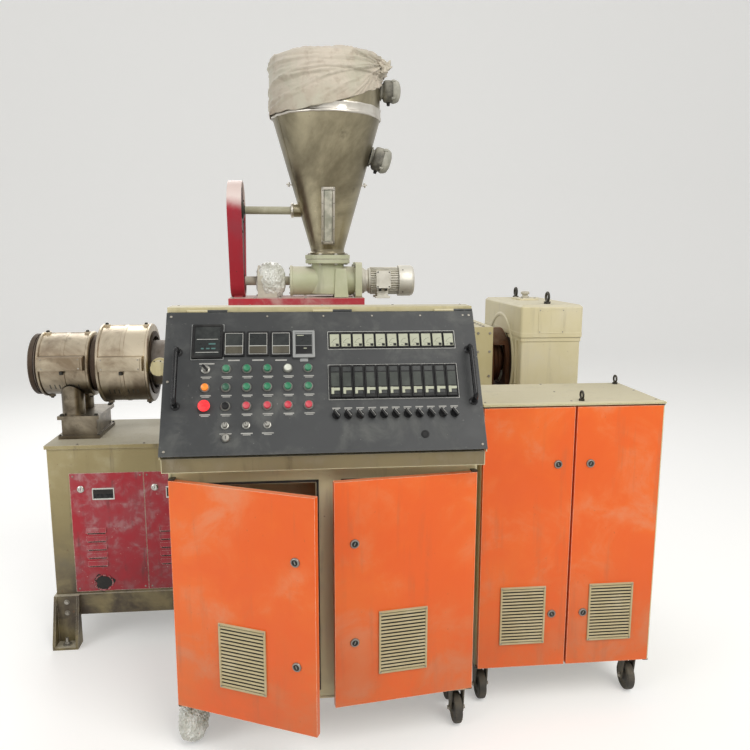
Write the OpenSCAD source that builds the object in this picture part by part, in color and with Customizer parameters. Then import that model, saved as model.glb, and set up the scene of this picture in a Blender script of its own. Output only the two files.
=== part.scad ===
// Plastic extruder: machine base with a conical twin-screw barrel, transverse gearbox,
// metering feeder with hopper, operator console with a sloped lid, and an electrical cabinet.
// X runs along the barrel towards the drive end, Y from the console towards the back, Z up.

/* [Machine base] */
// Length of the base along the barrel
base_length = 2164; // [2000:1:2600]
// Depth of the base from front to back
base_depth = 438; // [380:1:600]
// Height of the base's top above the floor
base_height = 805; // [740:1:900]
// Clear height under the base
base_clearance = 116; // [90:1:160]
// Height of the rail round the bottom of the base
rail_height = 84; // [60:1:110]
// Thickness of the base's top plate
top_plate = 14; // [8:1:20]
// How far the rail and the top plate stand proud of the walls
rail_proud = 7; // [4:1:12]
// Number of lift-off panels on each long side
panel_count = 7; // [5:1:8]
// Width of one lift-off panel
panel_width = 277; // [200:1:280]
// Height of one lift-off panel
panel_height = 483; // [420:1:500]
// Thickness of a lift-off panel
panel_thickness = 6; // [4:1:8]
// Width of a floor bracket
foot_width = 96; // [80:1:120]
// Reach of a floor bracket's sole in front of the base
foot_reach = 62; // [50:1:90]
// Thickness of a floor bracket's plates
foot_plate = 10; // [8:1:14]
// Diameter of the floor bolt holes
foot_hole_d = 18; // [14:1:22]

/* [Barrel] */
// Height of the screws' centre line above the base's top
axis_rise = 285; // [260:1:320]
// Distance from the base's die end to the die flange's outer face
die_overhang = 74; // [60:1:160]
// Diameter of the die flange
die_flange_d = 236; // [200:1:250]
// Thickness of the die flange
die_flange_t = 24; // [18:1:32]
// Diameter of the circle of die bolts
die_bolt_circle = 170; // [150:1:176]
// Number of die bolt holes
die_bolt_count = 8; // [6:1:12]
// Diameter of a die bolt hole
die_bolt_d = 14; // [10:1:16]
// Diameter of the barrel's outlet bore
outlet_d = 70; // [50:1:90]
// Depth of the outlet bore
outlet_depth = 90; // [60:1:140]
// Diameter of the barrel at the die end
barrel_small_d = 170; // [150:1:186]
// Diameter of the barrel at the feed end
barrel_large_d = 214; // [200:1:230]
// Length of one heater cover
cover_length = 200; // [180:1:206]
// Gap between the first two heater covers
cover_gap = 30; // [12:1:36]
// Gap between the two covers behind the vent zone
rear_cover_gap = 8; // [6:1:20]
// Diameter of the first heater cover at the die end
cover_small_d = 258; // [240:1:270]
// Diameter of the other heater covers
cover_large_d = 316; // [300:1:330]
// Length of the vent zone between the second and third covers
vent_zone = 84; // [80:1:110]
// Diameter of the cooled feed section
feed_jacket_d = 250; // [236:1:270]
// Length of the cooled feed section
feed_jacket_length = 420; // [380:1:440]
// Clearance between parts that seat on one another
seat = 0.3; // [0.2:0.1:0.5]

/* [Drive] */
// Distance from the base's die end to the distribution housing
drive_x = 1674; // [1660:1:1700]
// Thickness of the distribution housing along the barrel
distribution_t = 75; // [60:1:90]
// Width of the distribution housing across the barrel
distribution_w = 330; // [300:1:360]
// Height of the distribution housing's top above the screws' centre line
distribution_rise = 150; // [135:1:165]
// Length of the coupling bell
bell_length = 82; // [70:1:95]
// Diameter of the coupling bell
bell_d = 264; // [240:1:280]
// Width of the gearbox along the barrel
gearbox_w = 241; // [220:1:260]
// Length of the gearbox across the barrel
gearbox_l = 544; // [500:1:600]
// Height of the gearbox's split line above the base's top
gearbox_split = 402; // [390:1:430]
// Height of the gearbox's cover
gearbox_cover_h = 128; // [110:1:150]
// Overhang of the gearbox's cover over the lower half
gearbox_lip = 5; // [3:1:8]
// Depth of the belt guard behind the gearbox
guard_depth = 78; // [60:1:90]
// Radius of the belt guard at the gearbox
belt_big_r = 130; // [110:1:150]
// Radius of the belt guard at the motor
belt_small_r = 95; // [80:1:110]

/* [Feeder] */
// Distance from the base's die end to the feeder's outlet
feed_x = 1092; // [1080:1:1110]
// Height of the feeder's base frame above the screws' centre line
feeder_rise = 230; // [215:1:250]
// Height of the feeder's base frame
tray_height = 35; // [25:1:45]
// Depth of the feeder's base frame across the barrel
tray_depth = 230; // [200:1:260]
// Height of the metering screw's centre line above the base frame
screw_rise = 65; // [62:1:75]
// Diameter of the metering screw's tube
screw_tube_d = 116; // [100:1:118]
// Diameter of the hopper's neck
neck_d = 134; // [124:1:150]
// Diameter of the hopper's bottom flange
neck_flange_d = 180; // [170:1:200]
// Height of the hopper's bottom flange above the metering screw's centre line
neck_rise = 72; // [66:1:84]
// Thickness of each half of the hopper's bottom flange
neck_flange_t = 16; // [10:1:20]
// Diameter of the feeder's motor
motor_d = 112; // [100:1:118]
// Length of the feeder's motor without its fan cowl
motor_length = 161; // [140:1:180]
// Length of the motor's fan cowl
cowl_length = 55; // [45:1:65]
// Thickness of the chain guard
chain_guard_t = 56; // [48:1:64]
// Radius of the chain guard round the upper sprocket
sprocket_big_r = 115; // [100:1:125]
// Radius of the chain guard round the lower sprocket
sprocket_small_r = 65; // [56:1:65]
// Distance between the two sprockets
sprocket_span = 280; // [260:1:300]
// Distance from the hopper's centre to the chain guard's inner face
chain_guard_offset = 334; // [325:1:350]
// Radius of the agitator's shaft
agitator_r = 15.5; // [12:0.5:16]
// Radial running clearance of the agitator's shaft
shaft_play = 0.08; // [0.05:0.01:0.1]

/* [Hopper] */
// Height of the cone from its neck to its rim
cone_height = 506; // [460:1:560]
// Height of the short neck under the cone
neck_height = 20; // [12:1:30]
// Diameter of the hopper's cylindrical top
hopper_d = 424; // [400:1:450]
// Height of the cylindrical top
hopper_top_h = 205; // [190:1:240]
// Thickness of the hopper's wall
hopper_wall = 3; // [2:0.5:5]
// Width of the flange round the hopper's mouth
mouth_flange = 6; // [4:1:10]
// Thickness of the flange round the hopper's mouth
mouth_flange_t = 10; // [5:1:14]
// Rise of the lid in the hopper's mouth
lid_rise = 44; // [30:1:60]
// Thickness of the cloth's stand-in
cloth_t = 9; // [6:1:12]
// Width of the sight window
window_w = 44; // [30:1:60]
// Height of the sight window
window_h = 200; // [150:1:240]
// Height of the sight window's lower edge above the neck
window_rise = 30; // [20:1:60]

/* [Console] */
// Distance from the base's die end to the console's side
console_left = 589; // [560:1:620]
// Distance from the console's front frame to the base
base_setback = 696; // [640:1:760]
// Width of the console's cupboard
console_width = 916; // [880:1:930]
// Depth of the console's cupboard
console_depth = 250; // [230:1:500]
// Clear height under the console
console_clearance = 150; // [130:1:170]
// Height of the console's door frame above the floor
console_height = 915; // [900:1:930]
// Width of the console's outer posts
post_width = 34; // [26:1:44]
// Width of the console's centre post
centre_post_width = 84; // [70:1:100]
// Offset of the split between the doors from the console's middle
split_offset = 11; // [0:1:20]
// Thickness of the sheet metal
sheet = 3; // [2:0.5:4]
// Depth of the door frames
frame_depth = 30; // [24:1:40]
// Thickness of a door
door_t = 20; // [16:1:24]
// Gap between a closed door and its frame
door_gap = 6; // [6:1:9]
// Gap between two neighbouring doors
door_split = 6; // [6:1:12]
// Drop from the console's top to the top of its doors
console_door_drop = 35; // [28:1:53]
// Height of the console's doors above the bottom of the cupboard
console_door_rise = 22; // [10:1:26]
// Opening of the left console door at rest, in degrees
left_rest = 25; // [0:1:40]
// Opening of the right console door at rest, in degrees
right_rest = 8; // [0:1:30]
// Radius of a door's hinge pins
pin_r = 4; // [3:0.5:5]
// Distance from a door's edge to its hinge pins
pin_inset = 6; // [6:0.5:8]
// Running clearance of the hinge pins
pin_play = 0.08; // [0.05:0.01:0.1]
// Width of a louvre grille
grille_w = 152; // [130:1:170]
// Height of a louvre grille
grille_h = 202; // [180:1:220]
// Number of slats in a louvre grille
slat_count = 18; // [9:1:20]

/* [Control lid] */
// Width of the hood and its lid
lid_w = 938; // [936:1:960]
// Length of the lid along its slope
lid_l = 447; // [430:1:470]
// Slope of the lid from the vertical, in degrees
lid_tilt = 30.9; // [26:0.1:34]
// Reach of the lid's lower edge in front of the cupboard
nose_reach = 79; // [70:1:90]
// Height of the lid's lower edge above the door frame
nose_rise = 52; // [48:1:60]
// Thickness of the lid's sheet
lid_t = 4; // [3:1:5]
// Depth of the lid's folded edges
lid_fold = 24; // [18:1:28]
// Gap between the closed lid and the hood
lid_gap = 6; // [6:1:9]
// Thickness of the hood's top
hood_top_t = 15; // [12:1:20]
// Pitch of the meters, controllers and selectors on the right of the lid
row_pitch = 35; // [34:0.1:36]
// Number of meters, controllers and selectors in a row
row_count = 11; // [8:1:11]
// Pitch of the push buttons across the lid
button_pitch = 59.8; // [56:0.1:62]
// Pitch of the push buttons down the lid
button_row_pitch = 58; // [54:0.1:60]
// Radius of a push button's collar
button_r = 13; // [10:0.5:15]

/* [Electrical cabinet] */
// Gap between the console and the electrical cabinet
cabinet_gap = 43; // [40:1:60]
// Distance from the console's front frame back to the cabinet's
cabinet_setback = 124; // [110:1:140]
// Width of the cabinet
cabinet_width = 600; // [580:1:616]
// Depth of the cabinet
cabinet_depth = 333; // [300:1:370]
// Height of the cabinet above the floor
cabinet_height = 1058; // [1000:1:1100]
// Gap between the cabinet's doors
cabinet_split = 8; // [6:1:12]
// Width of the cabinet's left door
cabinet_left_door_w = 296; // [280:1:300]
// Thickness of the cabinet's top
cabinet_top_t = 6; // [4:1:10]
// Radius of the wheels under the console and the cabinet
wheel_r = 50; // [44:1:55]
// Width of a wheel
wheel_w = 30; // [24:1:36]
// Depth of the wiring ducts' cross section
duct_size = 90; // [70:1:110]

/* [Hidden] */
$fn = 96;

// Heights
base_front = base_setback;
base_back = base_setback + base_depth;
axis_y = base_setback + base_depth / 2;
axis_z = base_height + axis_rise;
tray_z = axis_z + feeder_rise;
tray_top = tray_z + tray_height;
screw_z = tray_top + screw_rise;
neck_z = screw_z + neck_rise + 2 * neck_flange_t;
cone_z = neck_z + neck_height;
rim_z = cone_z + cone_height;
mouth_z = rim_z + hopper_top_h;
upper_sprocket_z = screw_z + sprocket_span;

// Barrel stations, measured from the base's die end
barrel_start = -die_overhang + die_flange_t;
cover_start = barrel_start + 6;
second_cover = cover_start + cover_length + cover_gap;
vent_start = second_cover + cover_length;
third_cover = vent_start + vent_zone;
fourth_cover = third_cover + cover_length + rear_cover_gap;
cover_x = [cover_start, second_cover, third_cover, fourth_cover];
cover_d = [cover_small_d, cover_large_d, cover_large_d, cover_large_d];
jacket_start = fourth_cover + cover_length + rear_cover_gap;
barrel_end = drive_x;
bell_x = drive_x + distribution_t;
gearbox_x = bell_x + bell_length;

// Console places
console_right = console_left + console_width;
split_x = console_left + console_width / 2 + split_offset;
door_edge = 6;
door_front = -door_gap - door_t;
console_door_z = console_clearance + console_door_rise;
console_door_h = console_height - console_door_drop - console_door_z;
left_door_w = split_x - door_split / 2 - console_left - door_edge;
right_door_w = console_right - door_edge - split_x - door_split / 2;
hood_left = console_left + console_width / 2 - lid_w / 2;
hood_right = hood_left + lid_w;
nose_z = console_height + nose_rise;
lid_top_y = -nose_reach + lid_l * sin(lid_tilt);
lid_top_z = nose_z + lid_l * cos(lid_tilt);
hinge_out = 6;
hinge_in = 5;
lid_pivot_y = lid_top_y + hinge_out * sin(lid_tilt) + hinge_in * cos(lid_tilt);
lid_pivot_z = lid_top_z + hinge_out * cos(lid_tilt) - hinge_in * sin(lid_tilt);
knuckle_r = 4.5;
hood_top_y = lid_pivot_y + knuckle_r + 1;

// Cabinet places
cabinet_left = console_right + cabinet_gap;
cabinet_right = cabinet_left + cabinet_width;
cabinet_door_front = cabinet_setback - door_gap - door_t;
cabinet_door_z = console_clearance + 8;
cabinet_door_h = cabinet_height - cabinet_top_t - 5 - cabinet_door_z;
cabinet_edge = 3;
cabinet_right_door_w = cabinet_width - 2 * cabinet_edge - cabinet_left_door_w - cabinet_split;
cabinet_back = cabinet_setback + cabinet_depth;

// Footprint, which sets the origin under the middle of the whole machine
pin_depth = door_t / 2;
door_reach = left_door_w - pin_inset;
open_front = door_front + pin_depth - door_reach * sin(left_rest) - pin_depth * cos(left_rest);
guard_back = axis_y + gearbox_l / 2 + gearbox_lip + guard_depth;
x_low = -die_overhang;
x_high = max(base_length, cabinet_right);
mid_x = (x_low + x_high) / 2;
mid_y = (open_front + guard_back) / 2;

// Small helpers

module along_x(x, y, z) translate([x, y, z]) rotate([0, 90, 0]) children();

module span(low, high) translate(low) cube(high - low);

module placed() translate([-mid_x, -mid_y, 0]) children();

// Puts a shape drawn in the lid's own plane, X across, Y up the slope and Z outwards, on the lid
module on_lid() translate([hood_left, -nose_reach, nose_z]) rotate([90 - lid_tilt, 0, 0]) children();

// Machine base

module base_body() color("#bdb48f") difference() {
    union() {
        span([0, base_front, base_clearance], [base_length, base_back, base_clearance + rail_height]);
        span([rail_proud, base_front + rail_proud, base_clearance],
             [base_length - rail_proud, base_back - rail_proud, base_height]);
        span([0, base_front, base_height - top_plate], [base_length, base_back, base_height]);
    }
    for (x = panel_x) for (side = [0, 1])
        translate([x - seat,
                   side ? base_back - rail_proud - panel_thickness + 1 : base_front + rail_proud - 1,
                   panel_z - seat])
            cube([panel_width + 2 * seat, panel_thickness, panel_height + 2 * seat]);
}

panel_z = base_clearance + rail_height + 9;
panel_gap = 2;
panel_first = 84;
panel_x = [for (i = [0 : panel_count - 1]) panel_first + i * (panel_width + panel_gap)];
louvre_count = 5;
louvre_w = 68;
louvre_pitch = 34;
louvre_slot = 9;
pull_w = 79;
pull_h = 44;

// One lift-off panel with its louvre slots and the finger pull at its top, facing -Y
module lift_off_panel() difference() {
    cube([panel_width, panel_thickness - 1, panel_height]);
    for (i = [0 : louvre_count - 1])
        translate([54, -1, 100 + i * louvre_pitch]) cube([louvre_w, panel_thickness + 1, louvre_slot]);
    translate([84, -1, panel_height - 62 - pull_h]) cube([pull_w, panel_thickness - 2, pull_h]);
}

module base_panels() color("#a8303a") for (x = panel_x) {
    translate([x, base_front + rail_proud - 1, panel_z]) lift_off_panel();
    translate([x + panel_width, base_back - rail_proud + 1, panel_z]) rotate([0, 0, 180]) lift_off_panel();
}

foot_x = [0, base_length - foot_width];
foot_back_leg = base_clearance + rail_height;

// A gusseted bracket that stands against the base's front, facing -Y, with its hole for a floor bolt
module floor_bracket() {
    difference() {
        translate([0, -foot_reach, 0]) cube([foot_width, foot_reach, foot_plate]);
        translate([foot_width / 2, -foot_reach / 2 - foot_plate / 2, -1])
            cylinder(h = foot_plate + 2, d = foot_hole_d);
    }
    translate([0, -foot_plate, 0]) cube([foot_width, foot_plate, foot_back_leg]);
    for (x = [0, foot_width - foot_plate])
        translate([x, 0, 0]) rotate([90, 0, 90]) linear_extrude(foot_plate)
            polygon([[-foot_reach, 0], [0, 0], [0, foot_back_leg], [-foot_plate, foot_back_leg],
                     [-foot_reach, foot_plate * 2]]);
}

module base_feet() color("#b0a784") for (x = foot_x) {
    translate([x, base_front, 0]) floor_bracket();
    translate([x + foot_width, base_back, 0]) rotate([0, 0, 180]) floor_bracket();
}

// Barrel, drawn from the die flange to the distribution housing

end_flange_t = 30;
end_flange_d = 290;

module barrel() color("#6d6a63") along_x(-die_overhang, axis_y, axis_z) difference() {
    union() {
        cylinder(h = die_flange_t, d = die_flange_d);
        cylinder(h = barrel_end + die_overhang, d1 = barrel_small_d, d2 = barrel_large_d);
        translate([0, 0, jacket_start + die_overhang])
            cylinder(h = feed_jacket_length, d = feed_jacket_d);
        translate([0, 0, barrel_end + die_overhang - end_flange_t])
            cylinder(h = end_flange_t, d = end_flange_d);
    }
    translate([0, 0, -1]) cylinder(h = outlet_depth + 1, d = outlet_d);
    for (i = [0 : die_bolt_count - 1]) rotate([0, 0, (i + 0.5) * 360 / die_bolt_count])
        translate([die_bolt_circle / 2, 0, -1]) cylinder(h = die_flange_t + 2, d = die_bolt_d);
}

rim_w = 14;
rim_proud = 6;
terminal_h = 64;
terminal_proud = 18;
terminal_rise = 18;

// Diameter of the tapered barrel at a distance x from the base's die end
function barrel_d_at(x) =
    barrel_small_d + (barrel_large_d - barrel_small_d) * (x + die_overhang) / (barrel_end + die_overhang);

// A heater cover: a drum with raised end bands and a flat terminal box along its front,
// bored to the barrel's taper from its station x
module heater_cover(x0, length, d) difference() {
    union() {
        cylinder(h = length, d = d - 2 * rim_proud);
        for (x = [0, length / 2 - rim_w / 2, length - rim_w]) translate([0, 0, x])
            cylinder(h = rim_w, d = d);
        translate([-terminal_h / 2 - terminal_rise, -d / 2 - terminal_proud, rim_w])
            cube([terminal_h, d / 2, length - 2 * rim_w]);
    }
    translate([0, 0, -1]) cylinder(h = length + 2, d1 = barrel_d_at(x0 - 1) + 2 * seat,
                                   d2 = barrel_d_at(x0 + length + 1) + 2 * seat);
}

module heater_covers() color("#9b948a") for (i = [0 : len(cover_x) - 1])
    along_x(cover_x[i], axis_y, axis_z) heater_cover(cover_x[i], cover_length, cover_d[i]);

saddle_x = 24;
saddle_w = 158;
saddle_depth = 240;
saddle_h = 92;
saddle_plate = 14;
pillar_x = 73;
pillar_d = 86;
pillar_pitch = 124;

// The steel stand: a box between two plates, and two pillars hollowed to the first cover's round
module barrel_support() color("#8d857a") difference() {
    union() {
        for (z = [base_height, base_height + saddle_h - saddle_plate])
            span([saddle_x, axis_y - saddle_depth / 2, z],
                 [saddle_x + saddle_w, axis_y + saddle_depth / 2, z + saddle_plate]);
        span([saddle_x + 12, axis_y - saddle_depth / 2 + 12, base_height + saddle_plate / 2],
             [saddle_x + saddle_w - 12, axis_y + saddle_depth / 2 - 12, base_height + saddle_h - 2]);
        for (side = [-1, 1])
            translate([pillar_x, axis_y + side * pillar_pitch / 2, base_height + saddle_h - 1])
                cylinder(h = axis_z - base_height - saddle_h - cover_small_d / 4, d = pillar_d);
    }
    along_x(saddle_x - 1, axis_y, axis_z) cylinder(h = saddle_w + 2, d = cover_small_d + 2 * seat);
    along_x(cover_x[1] - seat, axis_y, axis_z) cylinder(h = cover_length, d = cover_large_d + 2 * seat);
}

vent_d = 58;
vent_x = vent_start + vent_zone / 2;

// The vacuum vent's pipe, which leaves the barrel towards the front and ends in a cap
module vent_port() color("#c6bf9e") translate([vent_x, axis_y, axis_z]) rotate([90, 0, 0]) difference() {
    union() {
        translate([0, 0, 60]) cylinder(h = 112, d = vent_d - 10);
        translate([0, 0, 118]) cylinder(h = 12, d = vent_d + 14);
        translate([0, 0, 132]) cylinder(h = 40, d = vent_d);
    }
    translate([-vent_d, 0, 0]) rotate([0, 90, 0])
        cylinder(h = 2 * vent_d, d1 = barrel_d_at(vent_x - vent_d) + 2 * seat,
                 d2 = barrel_d_at(vent_x + vent_d) + 2 * seat);
}

throat_w = 110;
throat_depth = 150;

module feed_throat() color("#8d8a82") difference() {
    span([feed_x - throat_w / 2, axis_y - throat_depth / 2, axis_z],
         [feed_x + throat_w / 2, axis_y + throat_depth / 2, tray_z - seat]);
    along_x(feed_x - throat_w, axis_y, axis_z) cylinder(h = 2 * throat_w, d = feed_jacket_d + 2 * seat);
}

// Drive

module distribution_housing() color("#c9c193") {
    span([drive_x + seat, axis_y - distribution_w / 2, base_height],
         [bell_x, axis_y + distribution_w / 2, axis_z + distribution_rise]);
}

// The coupling bell with an open arch at its side through which the shafts show
module coupling_bell() color("#8f8b74") difference() {
    union() {
        along_x(bell_x + seat, axis_y, axis_z) cylinder(h = bell_length - 2 * seat, d = bell_d);
        span([bell_x + seat, axis_y - bell_d / 2, base_height],
             [gearbox_x - seat, axis_y + bell_d / 2, axis_z]);
    }
    along_x(bell_x - 1, axis_y, axis_z) cylinder(h = bell_length + 2, d = bell_d - 60);
    span([bell_x + 16, axis_y - bell_d, axis_z - 150], [gearbox_x - 16, axis_y + bell_d, axis_z + 70]);
    span([gearbox_x - gearbox_lip - seat, axis_y - bell_d,
          base_height + gearbox_split - split_flange_t - seat],
         [gearbox_x + 1, axis_y + bell_d, axis_z + bell_d]);
}

gearbox_round = 26;
split_flange_t = 18;

// The gearbox's outline from above, with rounded corners
module gearbox_outline(grow) translate([-grow, -grow]) union() {
    w = gearbox_w + 2 * grow;
    l = gearbox_l + 2 * grow;
    r = gearbox_round / 2;
    translate([r, 0]) square([w - 2 * r, l]);
    translate([0, r]) square([w, l - 2 * r]);
    for (x = [r, w - r]) for (y = [r, l - r]) translate([x, y]) circle(r = r);
}

module gearbox_lower() color("#c9bf97") translate([gearbox_x, axis_y - gearbox_l / 2, base_height]) {
    linear_extrude(gearbox_split) gearbox_outline(0);
    translate([0, 0, gearbox_split - split_flange_t]) linear_extrude(split_flange_t) gearbox_outline(2);
}

crown_h = 12;
breather_r = 14;

module gearbox_cover() color("#cdc39c")
    translate([gearbox_x, axis_y - gearbox_l / 2, base_height + gearbox_split]) {
        linear_extrude(gearbox_cover_h - crown_h) gearbox_outline(gearbox_lip);
        translate([0, 0, gearbox_cover_h - crown_h]) linear_extrude(crown_h) gearbox_outline(-8);
        translate([gearbox_w / 2 - 40, gearbox_l / 2 + 20, gearbox_cover_h]) cube([80, 110, 8]);
        translate([gearbox_w / 2, gearbox_l / 2 + 90, gearbox_cover_h]) cylinder(h = 26, r = breather_r);
    }

eye_r = 17;
eye_rod_r = 5;

// A lifting eye with its threaded collar, the ring standing in the plane across X
module lifting_eye(scale_by) scale(scale_by) {
    cylinder(h = 9, r = 13);
    translate([0, 0, 7 + eye_r + eye_rod_r - 2]) rotate([0, 90, 0])
        rotate_extrude() translate([eye_r, 0]) circle(r = eye_rod_r, $fn = 24);
}

gearbox_top = base_height + gearbox_split + gearbox_cover_h;

module lifting_eyes() color("#3a3a38") {
    translate([gearbox_x + gearbox_w / 2, axis_y - gearbox_l / 2 + 60, gearbox_top]) lifting_eye(1);
    translate([gearbox_x + gearbox_w / 2, axis_y + gearbox_l / 2 - 60, gearbox_top]) lifting_eye(1);
    translate([cabinet_left + cabinet_left_door_w + 40, cabinet_setback + 20, cabinet_height])
        lifting_eye(0.7);
    translate([cabinet_right - 22, cabinet_back - 24, cabinet_height]) lifting_eye(0.7);
}

guard_y = axis_y + gearbox_l / 2 + gearbox_lip + seat;
belt_x = gearbox_x + gearbox_w / 2;
belt_top_z = axis_z;
belt_low_z = base_clearance + rail_height + belt_small_r + 40;

// The belt guard on the back, from the gearbox's input down to the motor inside the base
module belt_guard() color("#c2b98f") {
    translate([belt_x, guard_y + guard_depth - seat, 0]) rotate([90, 0, 0])
        linear_extrude(guard_depth - seat) belt_outline();
    span([belt_x - 60, base_back + seat, belt_low_z - 50], [belt_x + 60, guard_y + 1, belt_low_z + 50]);
}

// Tangent outline round the two pulleys
module belt_outline() {
    big = belt_big_r;
    small = belt_small_r;
    lean = asin((big - small) / (belt_top_z - belt_low_z));
    translate([0, belt_top_z]) circle(r = big);
    translate([0, belt_low_z]) circle(r = small);
    polygon([[-big * cos(lean), belt_top_z - big * sin(lean)],
             [big * cos(lean), belt_top_z - big * sin(lean)],
             [small * cos(lean), belt_low_z - small * sin(lean)],
             [-small * cos(lean), belt_low_z - small * sin(lean)]]);
}

// Feeder

guard_inner_x = feed_x - chain_guard_offset;
housing_left = feed_x - 154;
housing_right = feed_x + 110;
motor_flange_t = 26;
motor_flange_w = 150;

module feeder_tray() color("#b3424c") difference() {
    span([guard_inner_x - chain_guard_t - 4, axis_y - tray_depth / 2, tray_z],
         [housing_right + motor_flange_t + 6, axis_y + tray_depth / 2, tray_top - seat]);
    span([guard_inner_x - chain_guard_t + 4, axis_y - tray_depth / 2 + 8, tray_z - 1],
         [feed_x - throat_w / 2 - 10, axis_y + tray_depth / 2 - 8, tray_top - 8]);
}

module feeder_housing() color("#c3bd9d") {
    along_x(housing_left, axis_y, screw_z) cylinder(h = housing_right - housing_left, d = screw_tube_d);
    along_x(housing_left, axis_y, screw_z) cylinder(h = 14, d = screw_tube_d + 12);
    translate([feed_x, axis_y, tray_top]) cylinder(h = screw_rise + neck_rise, d = neck_d + 18);
    translate([feed_x, axis_y, screw_z + neck_rise]) cylinder(h = neck_flange_t, d = neck_flange_d);
    span([feed_x + 29, axis_y - 72, tray_top], [feed_x + 73, axis_y + 72, screw_z + neck_rise - 4]);
    span([housing_right, axis_y - motor_flange_w / 2, tray_top],
         [housing_right + motor_flange_t, axis_y + motor_flange_w / 2, screw_z + motor_flange_w / 2]);
}

motor_x = housing_right + motor_flange_t;
fin_count = 20;

module feeder_motor() color("#a9aaa4") {
    along_x(motor_x + seat, axis_y, screw_z) {
        cylinder(h = 32, d = motor_d - 8);
        translate([0, 0, 30]) cylinder(h = motor_length - 30, d = motor_d - 14);
        for (i = [0 : fin_count - 1]) rotate([0, 0, (i + 0.5) * 360 / fin_count])
            translate([motor_d / 2 - 10, -1.5, 36]) cube([9, 3, motor_length - 40]);
        translate([0, 0, motor_length]) cylinder(h = cowl_length, d = motor_d + 14);
    }
    span([motor_x + 60, axis_y - motor_d / 2 - 26, screw_z - 26],
         [motor_x + 112, axis_y - motor_d / 2 + 10, screw_z + 40]);
    for (y = [axis_y - 50, axis_y + 34])
        span([motor_x + 56, y, screw_z - motor_d / 2 - 14], [motor_x + 116, y + 16, screw_z - motor_d / 4]);
}

// Outline of the chain guard, with the upper sprocket's round at the top
module chain_outline(shrink) {
    lean = asin((sprocket_big_r - sprocket_small_r) / sprocket_span);
    big = sprocket_big_r - shrink;
    small = sprocket_small_r - shrink;
    translate([0, upper_sprocket_z]) circle(r = big);
    translate([0, screw_z]) circle(r = small);
    polygon([[-big * cos(lean), upper_sprocket_z - big * sin(lean)],
             [big * cos(lean), upper_sprocket_z - big * sin(lean)],
             [small * cos(lean), screw_z - small * sin(lean)],
             [-small * cos(lean), screw_z - small * sin(lean)]]);
}

module chain_guard() color("#b42b3d")
    translate([guard_inner_x - chain_guard_t, axis_y, 0]) rotate([90, 0, 90]) {
        linear_extrude(chain_guard_t) chain_outline(3);
        translate([0, 0, chain_guard_t / 2 - 2]) linear_extrude(4) chain_outline(0);
        translate([-30, tray_top, 8]) cube([60, screw_rise, chain_guard_t - 16]);
    }

bearing_w = 76;
bearing_r = 62;

// The pillow block between the chain guard and the feeder, on the tray
module shaft_bearing() color("#d8d5c8") {
    x0 = (guard_inner_x + housing_left - bearing_w) / 2;
    along_x(x0, axis_y, screw_z) cylinder(h = bearing_w, r = bearing_r);
    span([x0, axis_y - 60, tray_top], [x0 + bearing_w, axis_y + 60, screw_z]);
    along_x(guard_inner_x + seat, axis_y, screw_z)
        cylinder(h = housing_left - guard_inner_x - 2 * seat, r = 18);
}

hub_r = 26;
hub_length = 36;
agitator_cone_r = neck_d / 2 + (hopper_d - neck_d) / 2 * (upper_sprocket_z - cone_z) / cone_height;
hub_x = feed_x - agitator_cone_r - hub_length + 6;
paddle_l = 84;
paddle_r = 5;
paddle_offsets = [-45, 0, 45];

// The agitator: a shaft from the chain guard into the cone, with crossed pins inside
module agitator_shaft() color("#b9b3a8") {
    along_x(guard_inner_x + seat, axis_y, upper_sprocket_z)
        cylinder(h = feed_x + 60 - guard_inner_x, r = agitator_r);
    for (i = [0 : len(paddle_offsets) - 1])
        translate([feed_x + paddle_offsets[i], axis_y, upper_sprocket_z]) rotate([90 * (i % 2), 0, 0])
            translate([0, 0, -paddle_l / 2]) cylinder(h = paddle_l, r = paddle_r);
}

// Hopper

wall_slope = atan((hopper_d - neck_d) / 2 / cone_height);

module hopper_body() color("#8c857c") difference() {
    union() {
        translate([feed_x, axis_y, 0]) rotate_extrude()
            polygon([[neck_d / 2 - hopper_wall, neck_z - neck_flange_t + seat],
                     [neck_flange_d / 2, neck_z - neck_flange_t + seat],
                     [neck_flange_d / 2, neck_z], [neck_d / 2, neck_z], [neck_d / 2, cone_z],
                     [hopper_d / 2, rim_z], [hopper_d / 2 - hopper_wall, rim_z],
                     [neck_d / 2 - hopper_wall, cone_z]]);
        along_x(hub_x, axis_y, upper_sprocket_z) cylinder(h = hub_length, r = hub_r);
    }
    along_x(hub_x - 1, axis_y, upper_sprocket_z) cylinder(h = hub_length + 20, r = agitator_r + shaft_play);
    translate([feed_x - window_w / 2, axis_y - hopper_d, cone_z + window_rise])
        cube([window_w, hopper_d, window_h]);
}

// The cylinder welded on the cone, with the flange round its mouth
module hopper_ring() color("#8c857c") translate([feed_x, axis_y, 0]) rotate_extrude()
    polygon([[hopper_d / 2, rim_z + seat], [hopper_d / 2, mouth_z - mouth_flange_t],
             [hopper_d / 2 + mouth_flange, mouth_z - mouth_flange_t],
             [hopper_d / 2 + mouth_flange, mouth_z], [hopper_d / 2 - hopper_wall, mouth_z],
             [hopper_d / 2 - hopper_wall, rim_z + seat]]);

module hopper_lid() color("#9a948b") translate([feed_x, axis_y, mouth_z + seat]) {
    cylinder(h = 4, d = hopper_d + 8);
    cylinder(h = lid_rise, d1 = hopper_d - 20, d2 = 90);
}

cloth_gap = 0.5;
mouth_cloth_r = hopper_d / 2 + mouth_flange + cloth_gap;
cloth_low = rim_z + 15;
cloth_high = rim_z + 165;

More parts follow.
